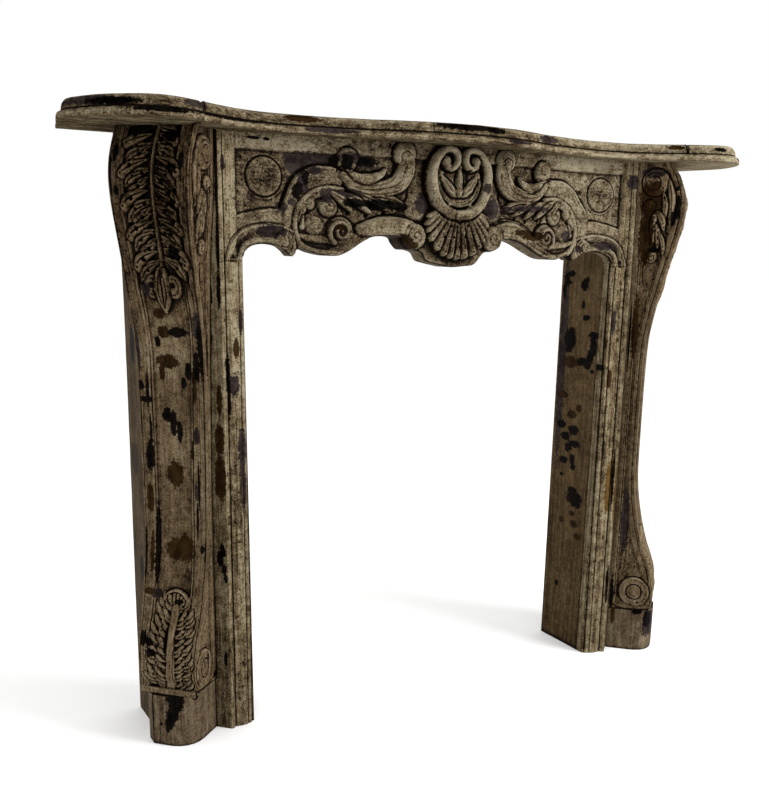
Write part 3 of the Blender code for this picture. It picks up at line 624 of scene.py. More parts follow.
FRIEZE_PATCHES = {
    "purple": [(-285, 1012, 32, 12), (-300, 1000, 12, 12), (-250, 1016, 26, 7), (-205, 1018, 22, 9),
               (-270, 995, 12, 6), (-290, 975, 10, 14), (-70, 947, 14, 16), (80, 945, 14, 17),
               (-345, 895, 26, 9), (-325, 935, 8, 8), (-308, 943, 6, 6), (372, 884, 26, 7), (300, 878, 10, 6),
               (-425, 985, 10, 22), (110, 944, 12, 6), (170, 948, 40, 6), (-412, 872, 8, 12),
               (262, 903, 12, 9), (-210, 962, 20, 6), (60, 980, 8, 8), (-180, 1012, 26, 8),
               (-250, 955, 10, 12)],
    "dark": [(-150, 944, 34, 8), (-110, 942, 14, 7), (-215, 1012, 10, 12), (-175, 1014, 22, 7),
             (-235, 1012, 6, 10), (-374, 1042, 11, 2.6), (-352, 1041, 5, 2.4), (-300, 962, 8, 14),
             (-200, 945, 20, 7), (20, 1000, 4, 10), (-285, 985, 5, 12)],
    "brown": [(178, 900, 26, 8), (150, 905, 20, 5), (-110, 885, 16, 10), (-90, 876, 12, 6), (300, 985, 8, 4),
              (-225, 903, 10, 4)],
}


FRIEZE_COLUMNS = 600
FRIEZE_ROWS = 150
PLAIN_ROWS = 4  # along the top edge at the back, and under the frieze


def build_frieze(material):
    """The carved board over the opening; its underside and back are plain."""
    half = FRIEZE_HALF_LENGTH
    x = np.linspace(-half, half, FRIEZE_COLUMNS + 1)[:, None] + np.zeros(FRIEZE_ROWS + 1)
    low = outline_height(x)
    z = low + (CARCASS_TOP - low) * np.linspace(0.0, 1.0, FRIEZE_ROWS + 1)
    relief = soften(frieze_carving(x, z), 1)
    relief -= 2.5 * ease(1 - (z - low) / (3.0 * MM)) ** 2
    relief *= ease((half - np.abs(x)) / (1.5 * MM))
    front = np.stack([x, FRONT_PLANE - frieze_front(x) - relief * MM, z], axis=2)
    plain = []
    for row, share in ((-1, 1.0), (0, 1.0), (0, 0.65), (0, 0.3)):
        edge = front[:, row].copy()
        edge[:, 1] += (FACE_BACK - edge[:, 1]) * share
        plain.append(edge)
    mesh = mesh_through("frieze_carving", np.concatenate([front, np.stack(plain, axis=1)], axis=1))
    # hollows take dirt and painted shade, proud parts paint worn by rubbing and a painted highlight
    hollow, rubbed_and_highlit = cavities(relief, 1.0)
    rest = np.zeros((FRIEZE_COLUMNS + 1, PLAIN_ROWS))
    across, _, up = points_of(mesh).T / MM
    state = (np.hstack([hollow, rest + 0.1]), np.hstack([rubbed_and_highlit, rest + 0.3]),
             soiling_and_light(across, up, FRIEZE_SOILING_AND_LIGHT))
    finish_piece("carved_frieze", mesh, "frieze", material, state, across, up, FRIEZE_PATCHES, CARVED_ANGLE)


# The consoles; p runs outwards along the diagonal of the corner, s runs along the canted face
SQRT_HALF = math.sqrt(0.5)
LEG_BACK_P = 322.0
LEG_OUTER_S = 441.0
SEAT_P = 357.5
SEAT_EASE = 0.8
PLINTH_INNER = 331.5
PLINTH_CORNER = (  # the rounded inner corner, up to the crease on the front: s, p
    (331.5, 370.0), (333.0, 385.0), (337.0, 398.0), (345.0, 409.0), (356.0, 415.4), (369.0, 419.0),
)


def leg_place(side, s, p):
    """Where a point of a leg lies, across and towards the wall."""
    return side * (s + p) * SQRT_HALF * MM, FRONT_PLANE + (s - p) * SQRT_HALF * MM


FOOT_ROLL = (376, 140)  # the middle of the rolled foot: p, height
FOOT_ROLL_RADIUS = 39.5
FOOT_ROLL_TOP = 158
LIP_TOP = 109.5


def console_front(z):
    """The profile of a console's front: a rolled foot over a narrow lip, the waist and the scrolled head."""
    foot = [(155, 413), (175, 411.5), (205, 401.5), (240, 388), (300, 372)]
    waist = [(370, 361), (450, 358), (650, 358), (730, 365.3), (820, 385)]
    head = [(910, 408.5), (950, 416), (980, 416), (1010, 408), (1050, 388)]
    roll = FOOT_ROLL[0] + np.sqrt(np.clip(FOOT_ROLL_RADIUS**2 - (z - FOOT_ROLL[1]) ** 2, 0, None))
    lip = 408.5 + 6.5 * ease((111.0 - z) / 3.0)
    return np.where(z < FOOT_ROLL_TOP, np.maximum(roll, lip), smooth_value(z, foot + waist + head))


def console_joint(z):
    """Where the inner side of a console meets the canted side of the stile, along the face."""
    foot = [(0, 330), (300, 328.5), (500, 326.5), (700, 322)]
    return smooth_value(z, foot + [(850, 317), (950, 309), (1060, 306)])


def console_inner(z):
    """Where the canted front ends on the inner side."""
    return smooth_value(z, [(0, 322.5), (300, 320), (600, 316.5), (850, 312), (950, 305), (1060, 304)])


def console_outer(z):
    """Where the canted front ends on the outer side."""
    return smooth_value(z, [(0, 432), (150, 432), (300, 439), (600, 441), (900, 442), (1060, 443)])


ACANTHUS_LOBES = (  # for each lobe: the side of the midrib, the tip, and where it springs from the midrib
    (-1, 326, 1012, 1052), (1, 420, 1010, 1052), (-1, 319, 964, 1018), (1, 424, 963, 1014),
    (-1, 323, 921, 970), (1, 425, 914, 968), (-1, 323, 877, 926), (1, 423, 868, 922),
    (-1, 322, 824, 880), (1, 419, 820, 876),
)
ACANTHUS_STEM = 370.0
# The leaflets of a lobe: how far out, how far above the tip, how far below the spring, half width
ACANTHUS_LEAFLETS = ((0.46, 34, -4, 7.6), (0.76, 27, 5, 8.4), (0.62, 6, 30, 7.2), (1.0, 9, 16, 9.2),
                     (0.82, -9, 34, 7.6))
# Its holes: how far out, how far above the tip, radius
ACANTHUS_HOLES = ((0.66, 25, 4.0), (0.40, 42, 3.6), (0.26, 62, 3.4), (0.55, 8, 3.0))


def carve_acanthus(c):
    """The long acanthus that hangs down a console's front from its head."""
    ground, stem = -9.0, ACANTHUS_STEM
    low = np.interp(c.up, [790, 835, 1060], [0.0, 1.0, 1.0])
    reach = np.where(c.across < stem, (stem - c.across) / 46, (c.across - stem) / 50)
    sunk = np.minimum(c.height, ground * low * ease((1 - reach) / 0.06))
    c.height[:] = np.where((reach < 1) & (low > 0), sunk, c.height)
    jitter = np.random.default_rng(4)
    for hand, tip, low_z, root_z in ACANTHUS_LOBES:
        width = abs(tip - stem)
        for order, (out, drop, start, half) in enumerate(ACANTHUS_LEAFLETS):
            shift = jitter.uniform(-2.2, 2.2, 3)
            end = (stem + hand * width * out + shift[0], low_z + drop + shift[1])
            root = (stem + hand * 3, root_z - start)
            bend = (stem + hand * width * out * 0.68, 0.36 * end[1] + 0.64 * root[1] - 2 + shift[2])
            c.leaf([root, bend, end], half, 8.5 + 0.5 * order, ground=ground + 1.5, veins=1, depth=0.08,
                   fullness=1.9, cut=3.6)
            c.groove([root, bend, (0.7 * end[0] + 0.3 * bend[0], 0.7 * end[1] + 0.3 * bend[1])], 1.6, 3.4)
        for out, rise, radius in ACANTHUS_HOLES:
            c.hole((stem + hand * width * out, low_z + rise), radius, 8.0)
        curl = (stem + hand * (width - 5), low_z + 12)
        c.boss(curl, 7.5, 10.5, ground=ground + 1.5, squash=1.25, power=0.4)
        c.hole((curl[0] + 1, curl[1] + 1), 2.2, 4.5)
    for lobe in (355, 393):
        c.boss((lobe, 802), 15.0, 10.0, squash=1.3, power=0.35)
        c.hole((lobe, 805), 5.4, 6.5)
        c.curl(1.3, 2.6, (lobe, 802), 10.5, 9.5, 90, 300, 1.3)
    c.leaf([(374, 836), (375, 800), (375, 762)], 15.0, 10.0, veins=1, depth=0.1, fullness=1.0, cut=4.5)
    for bend in (-7, 0, 7):
        c.groove([(374 + bend * 0.3, 828), (375 + bend, 797), (375 + bend * 0.2, 768)], 1.5, 3.6)
    c.groove([(367, 1050), (368, 960), (371, 870), (374, 824)], 5.5, 7.0)
    c.bar([(366.5, 1050), (367.5, 960), (370.5, 870), (374, 820)], [2.0, 1.9, 1.7], [9.0, 9.0, 8.5],
          ground=ground, cut=5.0)
    c.groove([(364, 1050), (365, 960), (368.5, 870), (373, 828)], 1.2, 3.0)
    c.groove([(370.5, 1050), (371, 960), (373, 870), (375, 828)], 1.7, 4.5)


FOOT_CURL_ROWS = 17
# The two curls of a row: start and finish as shares of the reach, rise, half width
FOOT_CURLS = ((0.50, 1.0, 19, 3.8), (0.10, 0.62, 22, 4.0))


def carve_foot_leaf(c):
    """The rising leaf on a console's foot: a plain stem between rows of small curls, and an arched top."""
    stem = 373
    jitter = np.random.default_rng(6)
    for across in (-15, -9, -3, 3, 9, 15):
        top = (stem + across * 1.2, 276 - abs(across) * 0.7)
        c.bar([(stem + across * 0.5, 246), (stem + across, 260), top], [2.6, 3.8, 2.8], [7.0], cut=2.4)
    c.bar(scroll_path((stem, 256), 24, 24, 10, 160), [2.6], [8.5], cut=2.4)
    for level in range(FOOT_CURL_ROWS):
        for hand in (-1, 1):
            shift = jitter.uniform(-4.0, 4.0, 4)
            root = 102 + 9.2 * level + 0.6 * shift[0]
            reach = 46 - 0.7 * level + 1.2 * shift[1] - max(0.0, 2.5 * (level - 12))
            for start, finish, rise, half in FOOT_CURLS:
                low = (stem + hand * reach * start, root + 12 * start + shift[2])
                tip = (stem + hand * reach * finish, low[1] + rise + shift[3])
                bend = (0.35 * low[0] + 0.65 * tip[0], 0.72 * low[1] + 0.28 * tip[1])
                c.leaf([low, bend, tip], half, 7.0, veins=1, depth=0.1, fullness=1.5, cut=2.8)
            c.hole((stem + hand * reach * 0.56, root + 6), 2.2, 4.0)
    c.bar([(373.5, 104), (371, 150), (374, 205), (371, 250)], [10.0, 8.5, 7.0, 7.5], [7.5, 7.0, 7.5],
          section=lined, cut=1.2)
    c.groove([(366, 120), (366, 160), (368, 200)], 1.2, 2.0)
    c.groove([(381, 222), (383, 196), (380, 170)], 3.4, 5.5)
    for centre in ((344, 122), (340, 150), (400, 130)):
        c.curl(1.3, 2.6, centre, 9.5, 4.0, 200, -360)


def face_carving(s, z, inner, outer):
    """Relief on a console's canted front: two moulded borders, a sunk panel and the two leaves."""
    panel_in = np.interp(z, [0, 300, 430, 640, 750, 1060], [343, 345, 347, 340, 334, 334])
    panel_out = np.interp(z, [0, 430, 750, 1060], [414, 416, 414, 424])
    height = -3.5 * ease((s - panel_in) / 3.0) * ease((panel_out - s) / 3.0)
    wander = lattice_noise(0 * s, z, 90.0, 12)
    for line, half, depth in (
        (inner + 3.0, 1.5, 1.6), ((inner + panel_in) / 2 - 1.5, 1.3, 0.8), (panel_in - 1.5, 2.2, 3.2),
        (panel_out + 1.5, 2.2, 3.0), (panel_out + 8.0, 1.5, 0.9), (outer - 2.5, 1.6, 1.5),
    ):
        height = height - depth * (1 + 0.5 * wander) * near_line(s - line - wander, half)
    c = Carving(s, z, height, ground=-4.5)
    carve_acanthus(c)
    carve_foot_leaf(c)
    c.groove([(311, 195), (309, 172), (315, 148)], 4.5, 3.5)
    c.height *= 1 - ease((LIP_TOP - z) / 1.5)
    c.height -= 2.6 * near_line(z - LIP_TOP, 1.8) * ease((417 - s) / 5)
    c.height += 0.3 * lattice_noise(s, z, 8.0, 5) + 0.5 * lattice_noise(s * 3, z, 60.0, 6)
    return c.height - (0.25 + 0.75 * ease((z - 780) / 40)) * pitting(s, z, 6.0, 16)


def flank_carving(p, z, front):
    """Relief on a console's sides: a border along the profile, a sunk field, and scrolls at head and foot."""
    ground = -3.0
    band = np.interp(z, [170, 260, 420, 800, 900, 1050], [16, 20, 14, 16, 19, 15])
    field = ease((front - band - p) / 3.0) * ease((p - LEG_BACK_P - 13.0) / 3.0)
    height = ground * field
    for line, half, depth in (
        (front - band, 2.0, 2.2), (front - 6.5, 1.7, 1.8), (LEG_BACK_P + 12.0, 2.0, 2.4),
    ):
        height = height - depth * near_line(line - p, half)
    c = Carving(p, z, height, ground=ground)
    head = (357, 1011)
    c.boss(head, 27, 7.0, power=0.25)
    c.curl(2.0, 2.6, head, 28, 27, 30, 300)
    c.curl(1.9, 3.6, (head[0] - 4, head[1]), 21, 12, 40, 420)
    c.leaf([(384, 1016), (392, 975), (390, 930)], 6.5, 7, veins=1, cut=2.6)
    c.groove([(386, 1004), (391, 972), (389, 938)], 1.3, 2.4)
    c.leaf([(374, 990), (380, 962), (375, 930)], 6.0, 7, veins=1, cut=2.6)
    c.groove([(375, 985), (379, 962), (375, 938)], 1.2, 2.2)
    c.boss((347, 966), 12, 7.5, squash=0.95, power=0.3)
    c.curl(1.8, 3.2, (347, 966), 13.5, 6, 60, 330)
    for start, end, half in (
        ((364, 955), (354, 912), 6.5), ((366, 955), (379, 918), 6.5), ((365, 930), (358, 886), 5.5),
        ((367, 925), (369, 880), 5.5), ((371, 915), (381, 866), 4.6),
    ):
        middle = ((start[0] + end[0]) / 2 + (end[0] - 366) * 0.25, (start[1] + end[1]) / 2)
        c.leaf([start, middle, end], half, 7.0, veins=1, depth=0.1, cut=3.0)
        c.groove([start, middle, end], 1.2, 2.4)
    c.boss((358, 867), 11, 6.5, squash=1.15, power=0.3)
    c.curl(2.0, 3.4, (358, 867), 12, 5, 60, 320, 1.15)
    c.hole((359, 868), 3.4, 2.5)
    c.groove([(344, 862), (343, 835), (345, 812)], 1.8, 2.0)
    c.groove([(330, 830), (331, 700), (331, 520)], 1.5, 1.0)
    foot = (376, 141)
    c.boss(foot, 34, 6.0, power=0.16)
    c.curl(2.0, 3.0, foot, 35, 34, -20, 300)
    c.curl(2.2, 4.0, foot, 17.5, 17.0, 0, 360)
    c.curl(1.3, 1.6, foot, 28.0, 27.0, -90, 200)
    c.boss(foot, 15, 7.5, power=0.3)
    for centre in ((370, 110), (385, 117)):
        c.hole(centre, 3.0, 3.5)
    for across in (342, 350):
        c.groove([(across, 190), (across + 2, 240), (across, 320), (across - 4, 400)], 1.5, 1.4)
    c.height += 0.25 * lattice_noise(p, z, 9.0, 7)
    return c.height - 0.8 * pitting(p, z, 6.0, 17)


SIDE_SHIFT = 1000.0  # on a console's sides the patches lie at this plus p, on its face they lie at s
CONSOLE_PATCHES = {
    "left": {
        "brown": [(391, 758, 10, 8), (388, 728, 10, 9), (385, 679, 19, 11), (396, 660, 5, 13),
                  (379, 486, 15, 20), (362, 355, 15, 22), (380, 351, 17, 18), (427, 440, 6, 24),
                  (424, 345, 4, 32), (426, 274, 9, 6), (343, 530, 3, 16), (336, 640, 4, 30)],
        "dark": [(360, 728, 16, 8), (400, 712, 5, 8), (347, 664, 6, 13), (357, 643, 5, 9), (319, 700, 6, 46),
                 (330, 672, 5, 26), (436, 637, 6, 8), (427, 613, 12, 5), (424, 630, 3, 26), (424, 515, 7, 26),
                 (421, 560, 2.5, 26), (442, 580, 3, 40), (391, 588, 8, 12), (379, 575, 6, 20),
                 (367, 561, 5, 17), (428, 195, 8, 12), (414, 190, 7, 6), (408, 172, 10, 6), (382, 193, 4, 20),
                 (414, 360, 4.5, 64), (320, 352, 3.5, 26), (328, 356, 4, 7), (445, 400, 3, 40),
                 (437, 340, 3, 44), (337, 405, 2, 30), (333, 470, 2, 36), (318, 500, 2.5, 50),
                 (312, 600, 4, 20), (317, 994, 5, 12), (340, 1032, 14, 9), (334, 930, 6, 6),
                 (346, 855, 10, 8), (395, 1044, 20, 8), (431, 1008, 5, 12), (332, 984, 8, 6),
                 (440, 975, 3, 26), (430, 950, 4, 6), (366, 262, 8, 4), (1350, 935, 3, 8), (1346, 885, 3, 10),
                 (1360, 820, 2.4, 14), (1335, 700, 2, 40), (1326, 108, 5, 8)],
        "purple": [(320, 735, 9, 26), (412, 272, 10, 7), (334, 556, 5, 14), (337, 455, 4, 14),
                   (405, 798, 8, 10), (437, 700, 3, 40), (1362, 152, 4, 16)],
    },
    "right": {
        "dark": [(1404, 962, 5, 24), (1396, 941, 5, 13), (1401, 1000, 3, 5), (1372, 546, 26, 1.6),
                 (1326, 700, 2, 70), (1362, 880, 12, 5), (1327, 130, 4, 40)],
        "brown": [(1345, 905, 14, 50), (1352, 980, 22, 30), (1336, 720, 6, 60)],
        "purple": [(1352, 1030, 20, 10), (1345, 300, 8, 70)],
    },
}


CONSOLE_SOILING = {
    "left": [(380, 700, 60, 70, -0.9), (380, 540, 60, 70, -0.35), (380, 300, 60, 40, 0.25),
             (392, 205, 40, 70, 0.3), (440, 500, 14, 300, 0.3), (1365, 950, 60, 120, 0.9),
             (376, 800, 34, 46, 1.0), (345, 940, 22, 110, 0.9)],
    "right": [(1345, 500, 40, 160, 0.15)],
}


SADDLE = ((322, 327, 335, 345, 356), (113, 108, 102, 99, 97.5))  # the dark joint under a console: p, height
SADDLE_HALF_WIDTH = 2.2
CONSOLE_SHARPNESS = 1.15  # how strongly the hollows of its face darken, with dirt and painted shade
FLANK_COLUMNS = 41
FACE_COLUMNS = 90
BACK_COLUMNS = 6
ARRIS_WIDTH = 2.2  # the edges of the face are worn over this width
ARRIS_WEAR = 0.8
FOOT_OVERHANG = 0.6  # of the foot over the plinth's inner side


def build_console(word, side, material):
    """A console: an inner side, the canted front and an outer side, run up through its profile."""
    low, top = CONSOLE_LOW / MM, CARCASS_TOP / MM
    foot = np.linspace(low, 300, 146, endpoint=False)
    waist = np.linspace(300, 755, 150, endpoint=False)
    z = np.concatenate([foot, waist, np.linspace(755, top, 216)])[:, None]
    front, inner, outer = console_front(z), console_inner(z), console_outer(z)
    flank_share = np.linspace(0.0, 1.0, FLANK_COLUMNS)
    p_flank = LEG_BACK_P + (front - LEG_BACK_P) * flank_share
    fade = ease((p_flank - LEG_BACK_P - 3) / 4) * ease((front - p_flank) / 3)
    side_relief = flank_carving(p_flank, z + 0 * p_flank, front) * fade
    joint = console_joint(z)
    s_inner = joint + (inner - joint) * flank_share - side_relief
    saddle = np.interp(p_flank, SADDLE[0], SADDLE[1])
    corner_s, corner_p = np.array(PLINTH_CORNER[:4]).T
    plinth_side = np.interp(p_flank, corner_p, corner_s)
    under = ease((116.0 - z) / 16.0)
    s_inner = s_inner * (1 - under) + (plinth_side - FOOT_OVERHANG) * under
    seat = LEG_OUTER_S - SEAT_EASE
    back_outer = np.minimum(outer, seat)
    s_outer = back_outer + (outer - back_outer) * flank_share + side_relief
    s_outer = np.where(p_flank < SEAT_P, np.minimum(s_outer, seat), s_outer)
    s_face = inner + (outer - inner) * np.linspace(0.0, 1.0, FACE_COLUMNS)[1:-1]
    face_relief = face_carving(s_face, z + 0 * s_face, inner, outer)
    arris = ease(np.minimum(s_face - inner, outer - s_face) / ARRIS_WIDTH)
    p_face = front + face_relief * arris - ARRIS_WEAR * (1 - arris)
    s_back = back_outer + (joint - back_outer) * np.linspace(0, 1, BACK_COLUMNS)[1:-1]
    s_all = np.hstack([s_inner, s_face, s_outer[:, ::-1], s_back])
    p_all = np.hstack([p_flank, p_face, p_flank[:, ::-1], LEG_BACK_P + 0 * s_back])
    up = z + 0 * s_all
    loops = np.stack([*leg_place(side, s_all, p_all), up * MM], axis=2)
    mesh = mesh_through("console_carving_" + word, loops)
    # hollows take dirt and painted shade, proud parts paint worn by rubbing and a painted highlight
    hollow_side, rubbed_and_highlit_side = cavities(side_relief, 1.0)
    hollow_face, rubbed_and_highlit_face = cavities(face_relief, CONSOLE_SHARPNESS)
    beside = np.clip(hollow_side * (1 - under) + near_line(saddle - z, SADDLE_HALF_WIDTH), 0, 1)
    hollow = np.hstack([beside, hollow_face, hollow_side[:, ::-1], 0 * s_back])
    rubbed_and_highlit = np.hstack([rubbed_and_highlit_side, rubbed_and_highlit_face, rubbed_and_highlit_side[:, ::-1], 0 * s_back])
    on_face = np.hstack([0 * s_inner, 1 + 0 * s_face, 0 * s_outer, 0 * s_back])
    across = np.where(on_face > 0, s_all, p_all + SIDE_SHIFT)
    blackening = ease((up - 770) / 60) * on_face * (1.0 if side < 0 else 0.5)
    state = hollow, rubbed_and_highlit, blackening + soiling_and_light(across, up, CONSOLE_SOILING[word])
    finish_piece("console_%s_carved" % word, mesh, "console_" + word, material, state, across, up,
                 CONSOLE_PATCHES[word], CARVED_ANGLE)


# Boards and mouldings, swept by geometry nodes
class NodeTree:
    """Adds nodes to a tree, and joins or sets their inputs."""

    def __init__(self, tree):
        self.tree = tree

    def add(self, kind, inputs=None, **settings):
        node = self.tree.nodes.new(kind)
        for name, value in settings.items():
            setattr(node, name, value)
        for name, value in (inputs or {}).items():
            self.join(node.inputs[name], value)
        return node

    def join(self, socket, value):
        if isinstance(value, bpy.types.NodeSocket):
            self.tree.links.new(value, socket)
        else:
            socket.default_value = value

    def math(self, operation, first, second):
        return self.add("ShaderNodeMath", {0: first, 1: second}, operation=operation).outputs[0]


def open_tree(name, inputs):
    """A tree with named inputs: the wire to sweep, the given ones, and those of the surface."""
    group = bpy.data.node_groups.new(name, "GeometryNodeTree")
    surface = [("Dent depth", "Float"), ("Dent size", "Float"), ("Seed", "Float"), ("Material", "Material")]
    for title, kind in [("Geometry", "Geometry"), *inputs, *surface]:
        group.interface.new_socket(title, in_out="INPUT", socket_type="NodeSocket" + kind)
    group.interface.new_socket("Geometry", in_out="OUTPUT", socket_type="NodeSocketGeometry")
    tree = NodeTree(group)
    return tree, tree.add("NodeGroupInput").outputs


def close_tree(tree, given, surface, dented=True):
    """Gives a swept surface its small dents and its paint, as the tree's output."""
    place = tree.add("GeometryNodeInputPosition").outputs[0]
    scale = tree.math("DIVIDE", 1.0, given["Dent size"])
    lumps = tree.add("ShaderNodeTexNoise", {
        "Vector": place, "W": given["Seed"], "Scale": scale, "Detail": 3.0}, noise_dimensions="4D")
    push = tree.math("MULTIPLY", tree.math("SUBTRACT", lumps.outputs[0], 0.5), given["Dent depth"])
    normal = tree.add("GeometryNodeInputNormal").outputs[0]
    offset = tree.add("ShaderNodeVectorMath", {0: normal, "Scale": tree.math("MULTIPLY", push, 2.0)},
                      operation="SCALE")
    moved = tree.add("GeometryNodeSetPosition", {
        "Geometry": surface, "Selection": dented, "Offset": offset.outputs[0]})
    real = tree.add("GeometryNodeRealizeInstances", {"Geometry": moved.outputs[0]})
    painted = tree.add("GeometryNodeSetMaterial", {
        "Geometry": real.outputs[0], "Material": given["Material"]})
    tree.add("NodeGroupOutput", {"Geometry": painted.outputs[0]})
    return tree.tree


def board_tree():
    """Runs the plan of a board up a straight line."""
    tree, given = open_tree("run_of_moulding", [
        ("Foot", "Float"), ("Head", "Float"), ("Row spacing", "Float")])
    plan = tree.add("GeometryNodeMeshToCurve", {"Mesh": given["Geometry"]})
    foot = tree.add("ShaderNodeCombineXYZ", {"Z": given["Foot"]})
    head = tree.add("ShaderNodeCombineXYZ", {"Z": given["Head"]})
    line = tree.add("GeometryNodeCurvePrimitiveLine", {"Start": foot.outputs[0], "End": head.outputs[0]})
    rows = tree.add("GeometryNodeResampleCurve", {"Curve": line.outputs[0]}, mode="LENGTH")
    tree.join(rows.inputs["Length"], given["Row spacing"])
    swept = tree.add("GeometryNodeCurveToMesh", {
        "Curve": rows.outputs[0], "Profile Curve": plan.outputs[0], "Fill Caps": True})
    return close_tree(tree, given, swept.outputs[0])


def shelf_tree():
    """Sweeps the shelf's edge moulding along its plan, and carries the flat top and underside to the wall."""
    tree, given = open_tree("moulded_shelf", [
        ("Moulding", "Object"), ("Wall", "Float"), ("Back start", "Float"), ("Back end", "Float")])
    plan = tree.add("GeometryNodeMeshToCurve", {"Mesh": given["Geometry"]})
    share = tree.add("GeometryNodeSplineParameter").outputs["Factor"]
    marked = tree.add("GeometryNodeStoreNamedAttribute", {
        "Geometry": plan.outputs[0], "Name": "run", "Value": share}, data_type="FLOAT", domain="POINT")
    upright = tree.add("GeometryNodeSetCurveNormal", {"Curve": marked.outputs[0]}, mode="Z_UP")
    moulding = tree.add("GeometryNodeObjectInfo", {"Object": given["Moulding"]})
    section = tree.add("GeometryNodeMeshToCurve", {"Mesh": moulding.outputs["Geometry"]})
    swept = tree.add("GeometryNodeCurveToMesh", {
        "Curve": upright.outputs[0], "Profile Curve": section.outputs[0], "Fill Caps": True})
    run, at_wall = [
        tree.add("GeometryNodeInputNamedAttribute", {"Name": title}, data_type="FLOAT").outputs[0]
        for title in ("run", "at_wall")]
    place = tree.add("GeometryNodeInputPosition").outputs[0]
    height = tree.add("ShaderNodeSeparateXYZ", {0: place}).outputs[2]
    length = tree.math("SUBTRACT", given["Back end"], given["Back start"])
    back_x = tree.math("ADD", given["Back start"], tree.math("MULTIPLY", run, length))
    back = tree.add("ShaderNodeCombineXYZ", {"X": back_x, "Y": given["Wall"], "Z": height})
    stretched = tree.add("GeometryNodeSetPosition", {
        "Geometry": swept.outputs[0], "Selection": tree.math("GREATER_THAN", at_wall, 0.5),
        "Position": back.outputs[0]})
    return close_tree(tree, given, stretched.outputs[0], tree.math("LESS_THAN", at_wall, 0.5))


def wire_object(name, points, closed, values=None):
    """A wire of straight edges through the points, for a tree to sweep."""
    count = len(points)
    edges = [(index, (index + 1) % count) for index in range(count if closed else count - 1)]
    mesh = bpy.data.meshes.new(name)
    mesh.from_pydata([tuple(map(float, point)) for point in points], edges, [])
    for attribute, numbers in (values or {}).items():
        write_values(mesh, attribute, numbers)
    wire = bpy.data.objects.new(name, mesh)
    bpy.context.scene.collection.objects.link(wire)
    return wire


def swept_mesh(name, wire, group, inputs):
    """The plain mesh that a tree makes from a wire."""
    modifier = wire.modifiers.new("sweep", "NODES")
    modifier.node_group = group
    for item in group.interface.items_tree:
        if item.in_out == "INPUT" and item.name in inputs:
            modifier[item.identifier] = inputs[item.name]
    bpy.context.view_layer.update()
    seen = wire.evaluated_get(bpy.context.evaluated_depsgraph_get())
    mesh = bpy.data.meshes.new_from_object(seen)
    mesh.name = name
    wire.modifiers.clear()
    bpy.data.objects.remove(wire, do_unlink=True)
    shape = bmesh.new()
    shape.from_mesh(mesh)
    bmesh.ops.remove_doubles(shape, verts=shape.verts, dist=1e-6)
    bmesh.ops.recalc_face_normals(shape, faces=shape.faces)
    shape.to_mesh(mesh)
    shape.free()
    return mesh


def eased_plan(corners, radius, spacing):
    """A closed plan with its corners rounded and its straight runs divided."""
    corners = np.asarray(corners, float)
    points = []
    count = len(corners)
    for index in range(count):
        before, here, after = corners[index - 1], corners[index], corners[(index + 1) % count]
        back, ahead = before - here, after - here
        cut = min(radius, np.linalg.norm(back) / 3, np.linalg.norm(ahead) / 3)
        start = here + back / np.linalg.norm(back) * cut
        end = here + ahead / np.linalg.norm(ahead) * cut
        for share in (0.0, 0.33, 0.67, 1.0):
            points.append((1 - share) ** 2 * start + 2 * share * (1 - share) * here + share**2 * end)
    divided = []
    for index, point in enumerate(points):
        after = points[(index + 1) % len(points)]
        steps = max(1, int(round(np.linalg.norm(after - point) / spacing)))
        for step in range(steps):
            divided.append(point + (after - point) * step / steps)
    return np.array(divided)


NOTCH_HEIGHT = 851.5  # the frieze rests in the stiles' notches, over this height
OPENING_HALF_WIDTH = 0.3900
OPENING_TAPER = 0.0045


def opening_half_width(z):
    """The opening narrows a little towards the floor."""
    return OPENING_HALF_WIDTH + OPENING_TAPER * np.clip(z / (NOTCH_HEIGHT * MM), 0, 1)


ARRIS_RADIUS = 0.0018
ROW_SPACING = 0.004
DENT_DEPTH = 0.0006


def build_run(name, side, corners, material, seed):
    """A board of constant plan, swept up from the floor."""
    plan = eased_plan(corners, ARRIS_RADIUS, ROW_SPACING) + (0.0, FRONT_PLANE)
    wire = wire_object(name + "_plan", np.column_stack([plan * (side, 1), np.zeros(len(plan))]), True)
    return swept_mesh(name, wire, BOARD_TREE, {
        "Foot": 0.0, "Head": CARCASS_TOP, "Row spacing": ROW_SPACING, "Dent depth": DENT_DEPTH,
        "Dent size": 0.05, "Seed": seed, "Material": material})


def shaped(mesh, change):
    """Moves the points of a mesh, and gives their new places."""
    places = change(points_of(mesh))
    mesh.vertices.foreach_set("co", places.astype(np.float32).ravel())
    mesh.update()
    return places


STILE_PATCHES = {
    "left": {
        "dark": [(427, 635, 3, 50), (430, 660, 4, 30), (445.5, 138, 2.4, 13), (446.5, 350, 3, 6),
                 (447, 338, 5, 7), (450, 328, 4, 11), (444.5, 309, 3, 8), (442.5, 293, 2.5, 8),
                 (455, 720, 2.4, 28), (453, 790, 2.4, 15), (442, 800, 2.4, 30), (442, 870, 2.0, 40),
                 (442, 955, 2.2, 22), (442, 1020, 2.4, 24)],
        "brown": [(446, 475, 7, 36), (446, 545, 5.5, 26), (445, 613, 3.5, 22), (412, 700, 5, 14)],
        "purple": [(418, 637, 9, 17), (405, 525, 7, 34), (405, 455, 6, 35), (403, 745, 4, 20),
                   (430, 1000, 4, 12)],
    },
    "right": {
        "dark": [(392, 639, 4, 6), (436, 160, 3, 40), (433, 400, 2, 60)],
        "brown": [(407, 616, 5, 16), (450, 180, 5, 30)],
        "ochre": [(424, 378, 8, 50), (428, 420, 5, 20), (443, 372, 6, 70)],
        "purple": [(432, 1010, 14, 12), (408, 735, 4, 22), (404, 470, 3, 20)],
    },
}


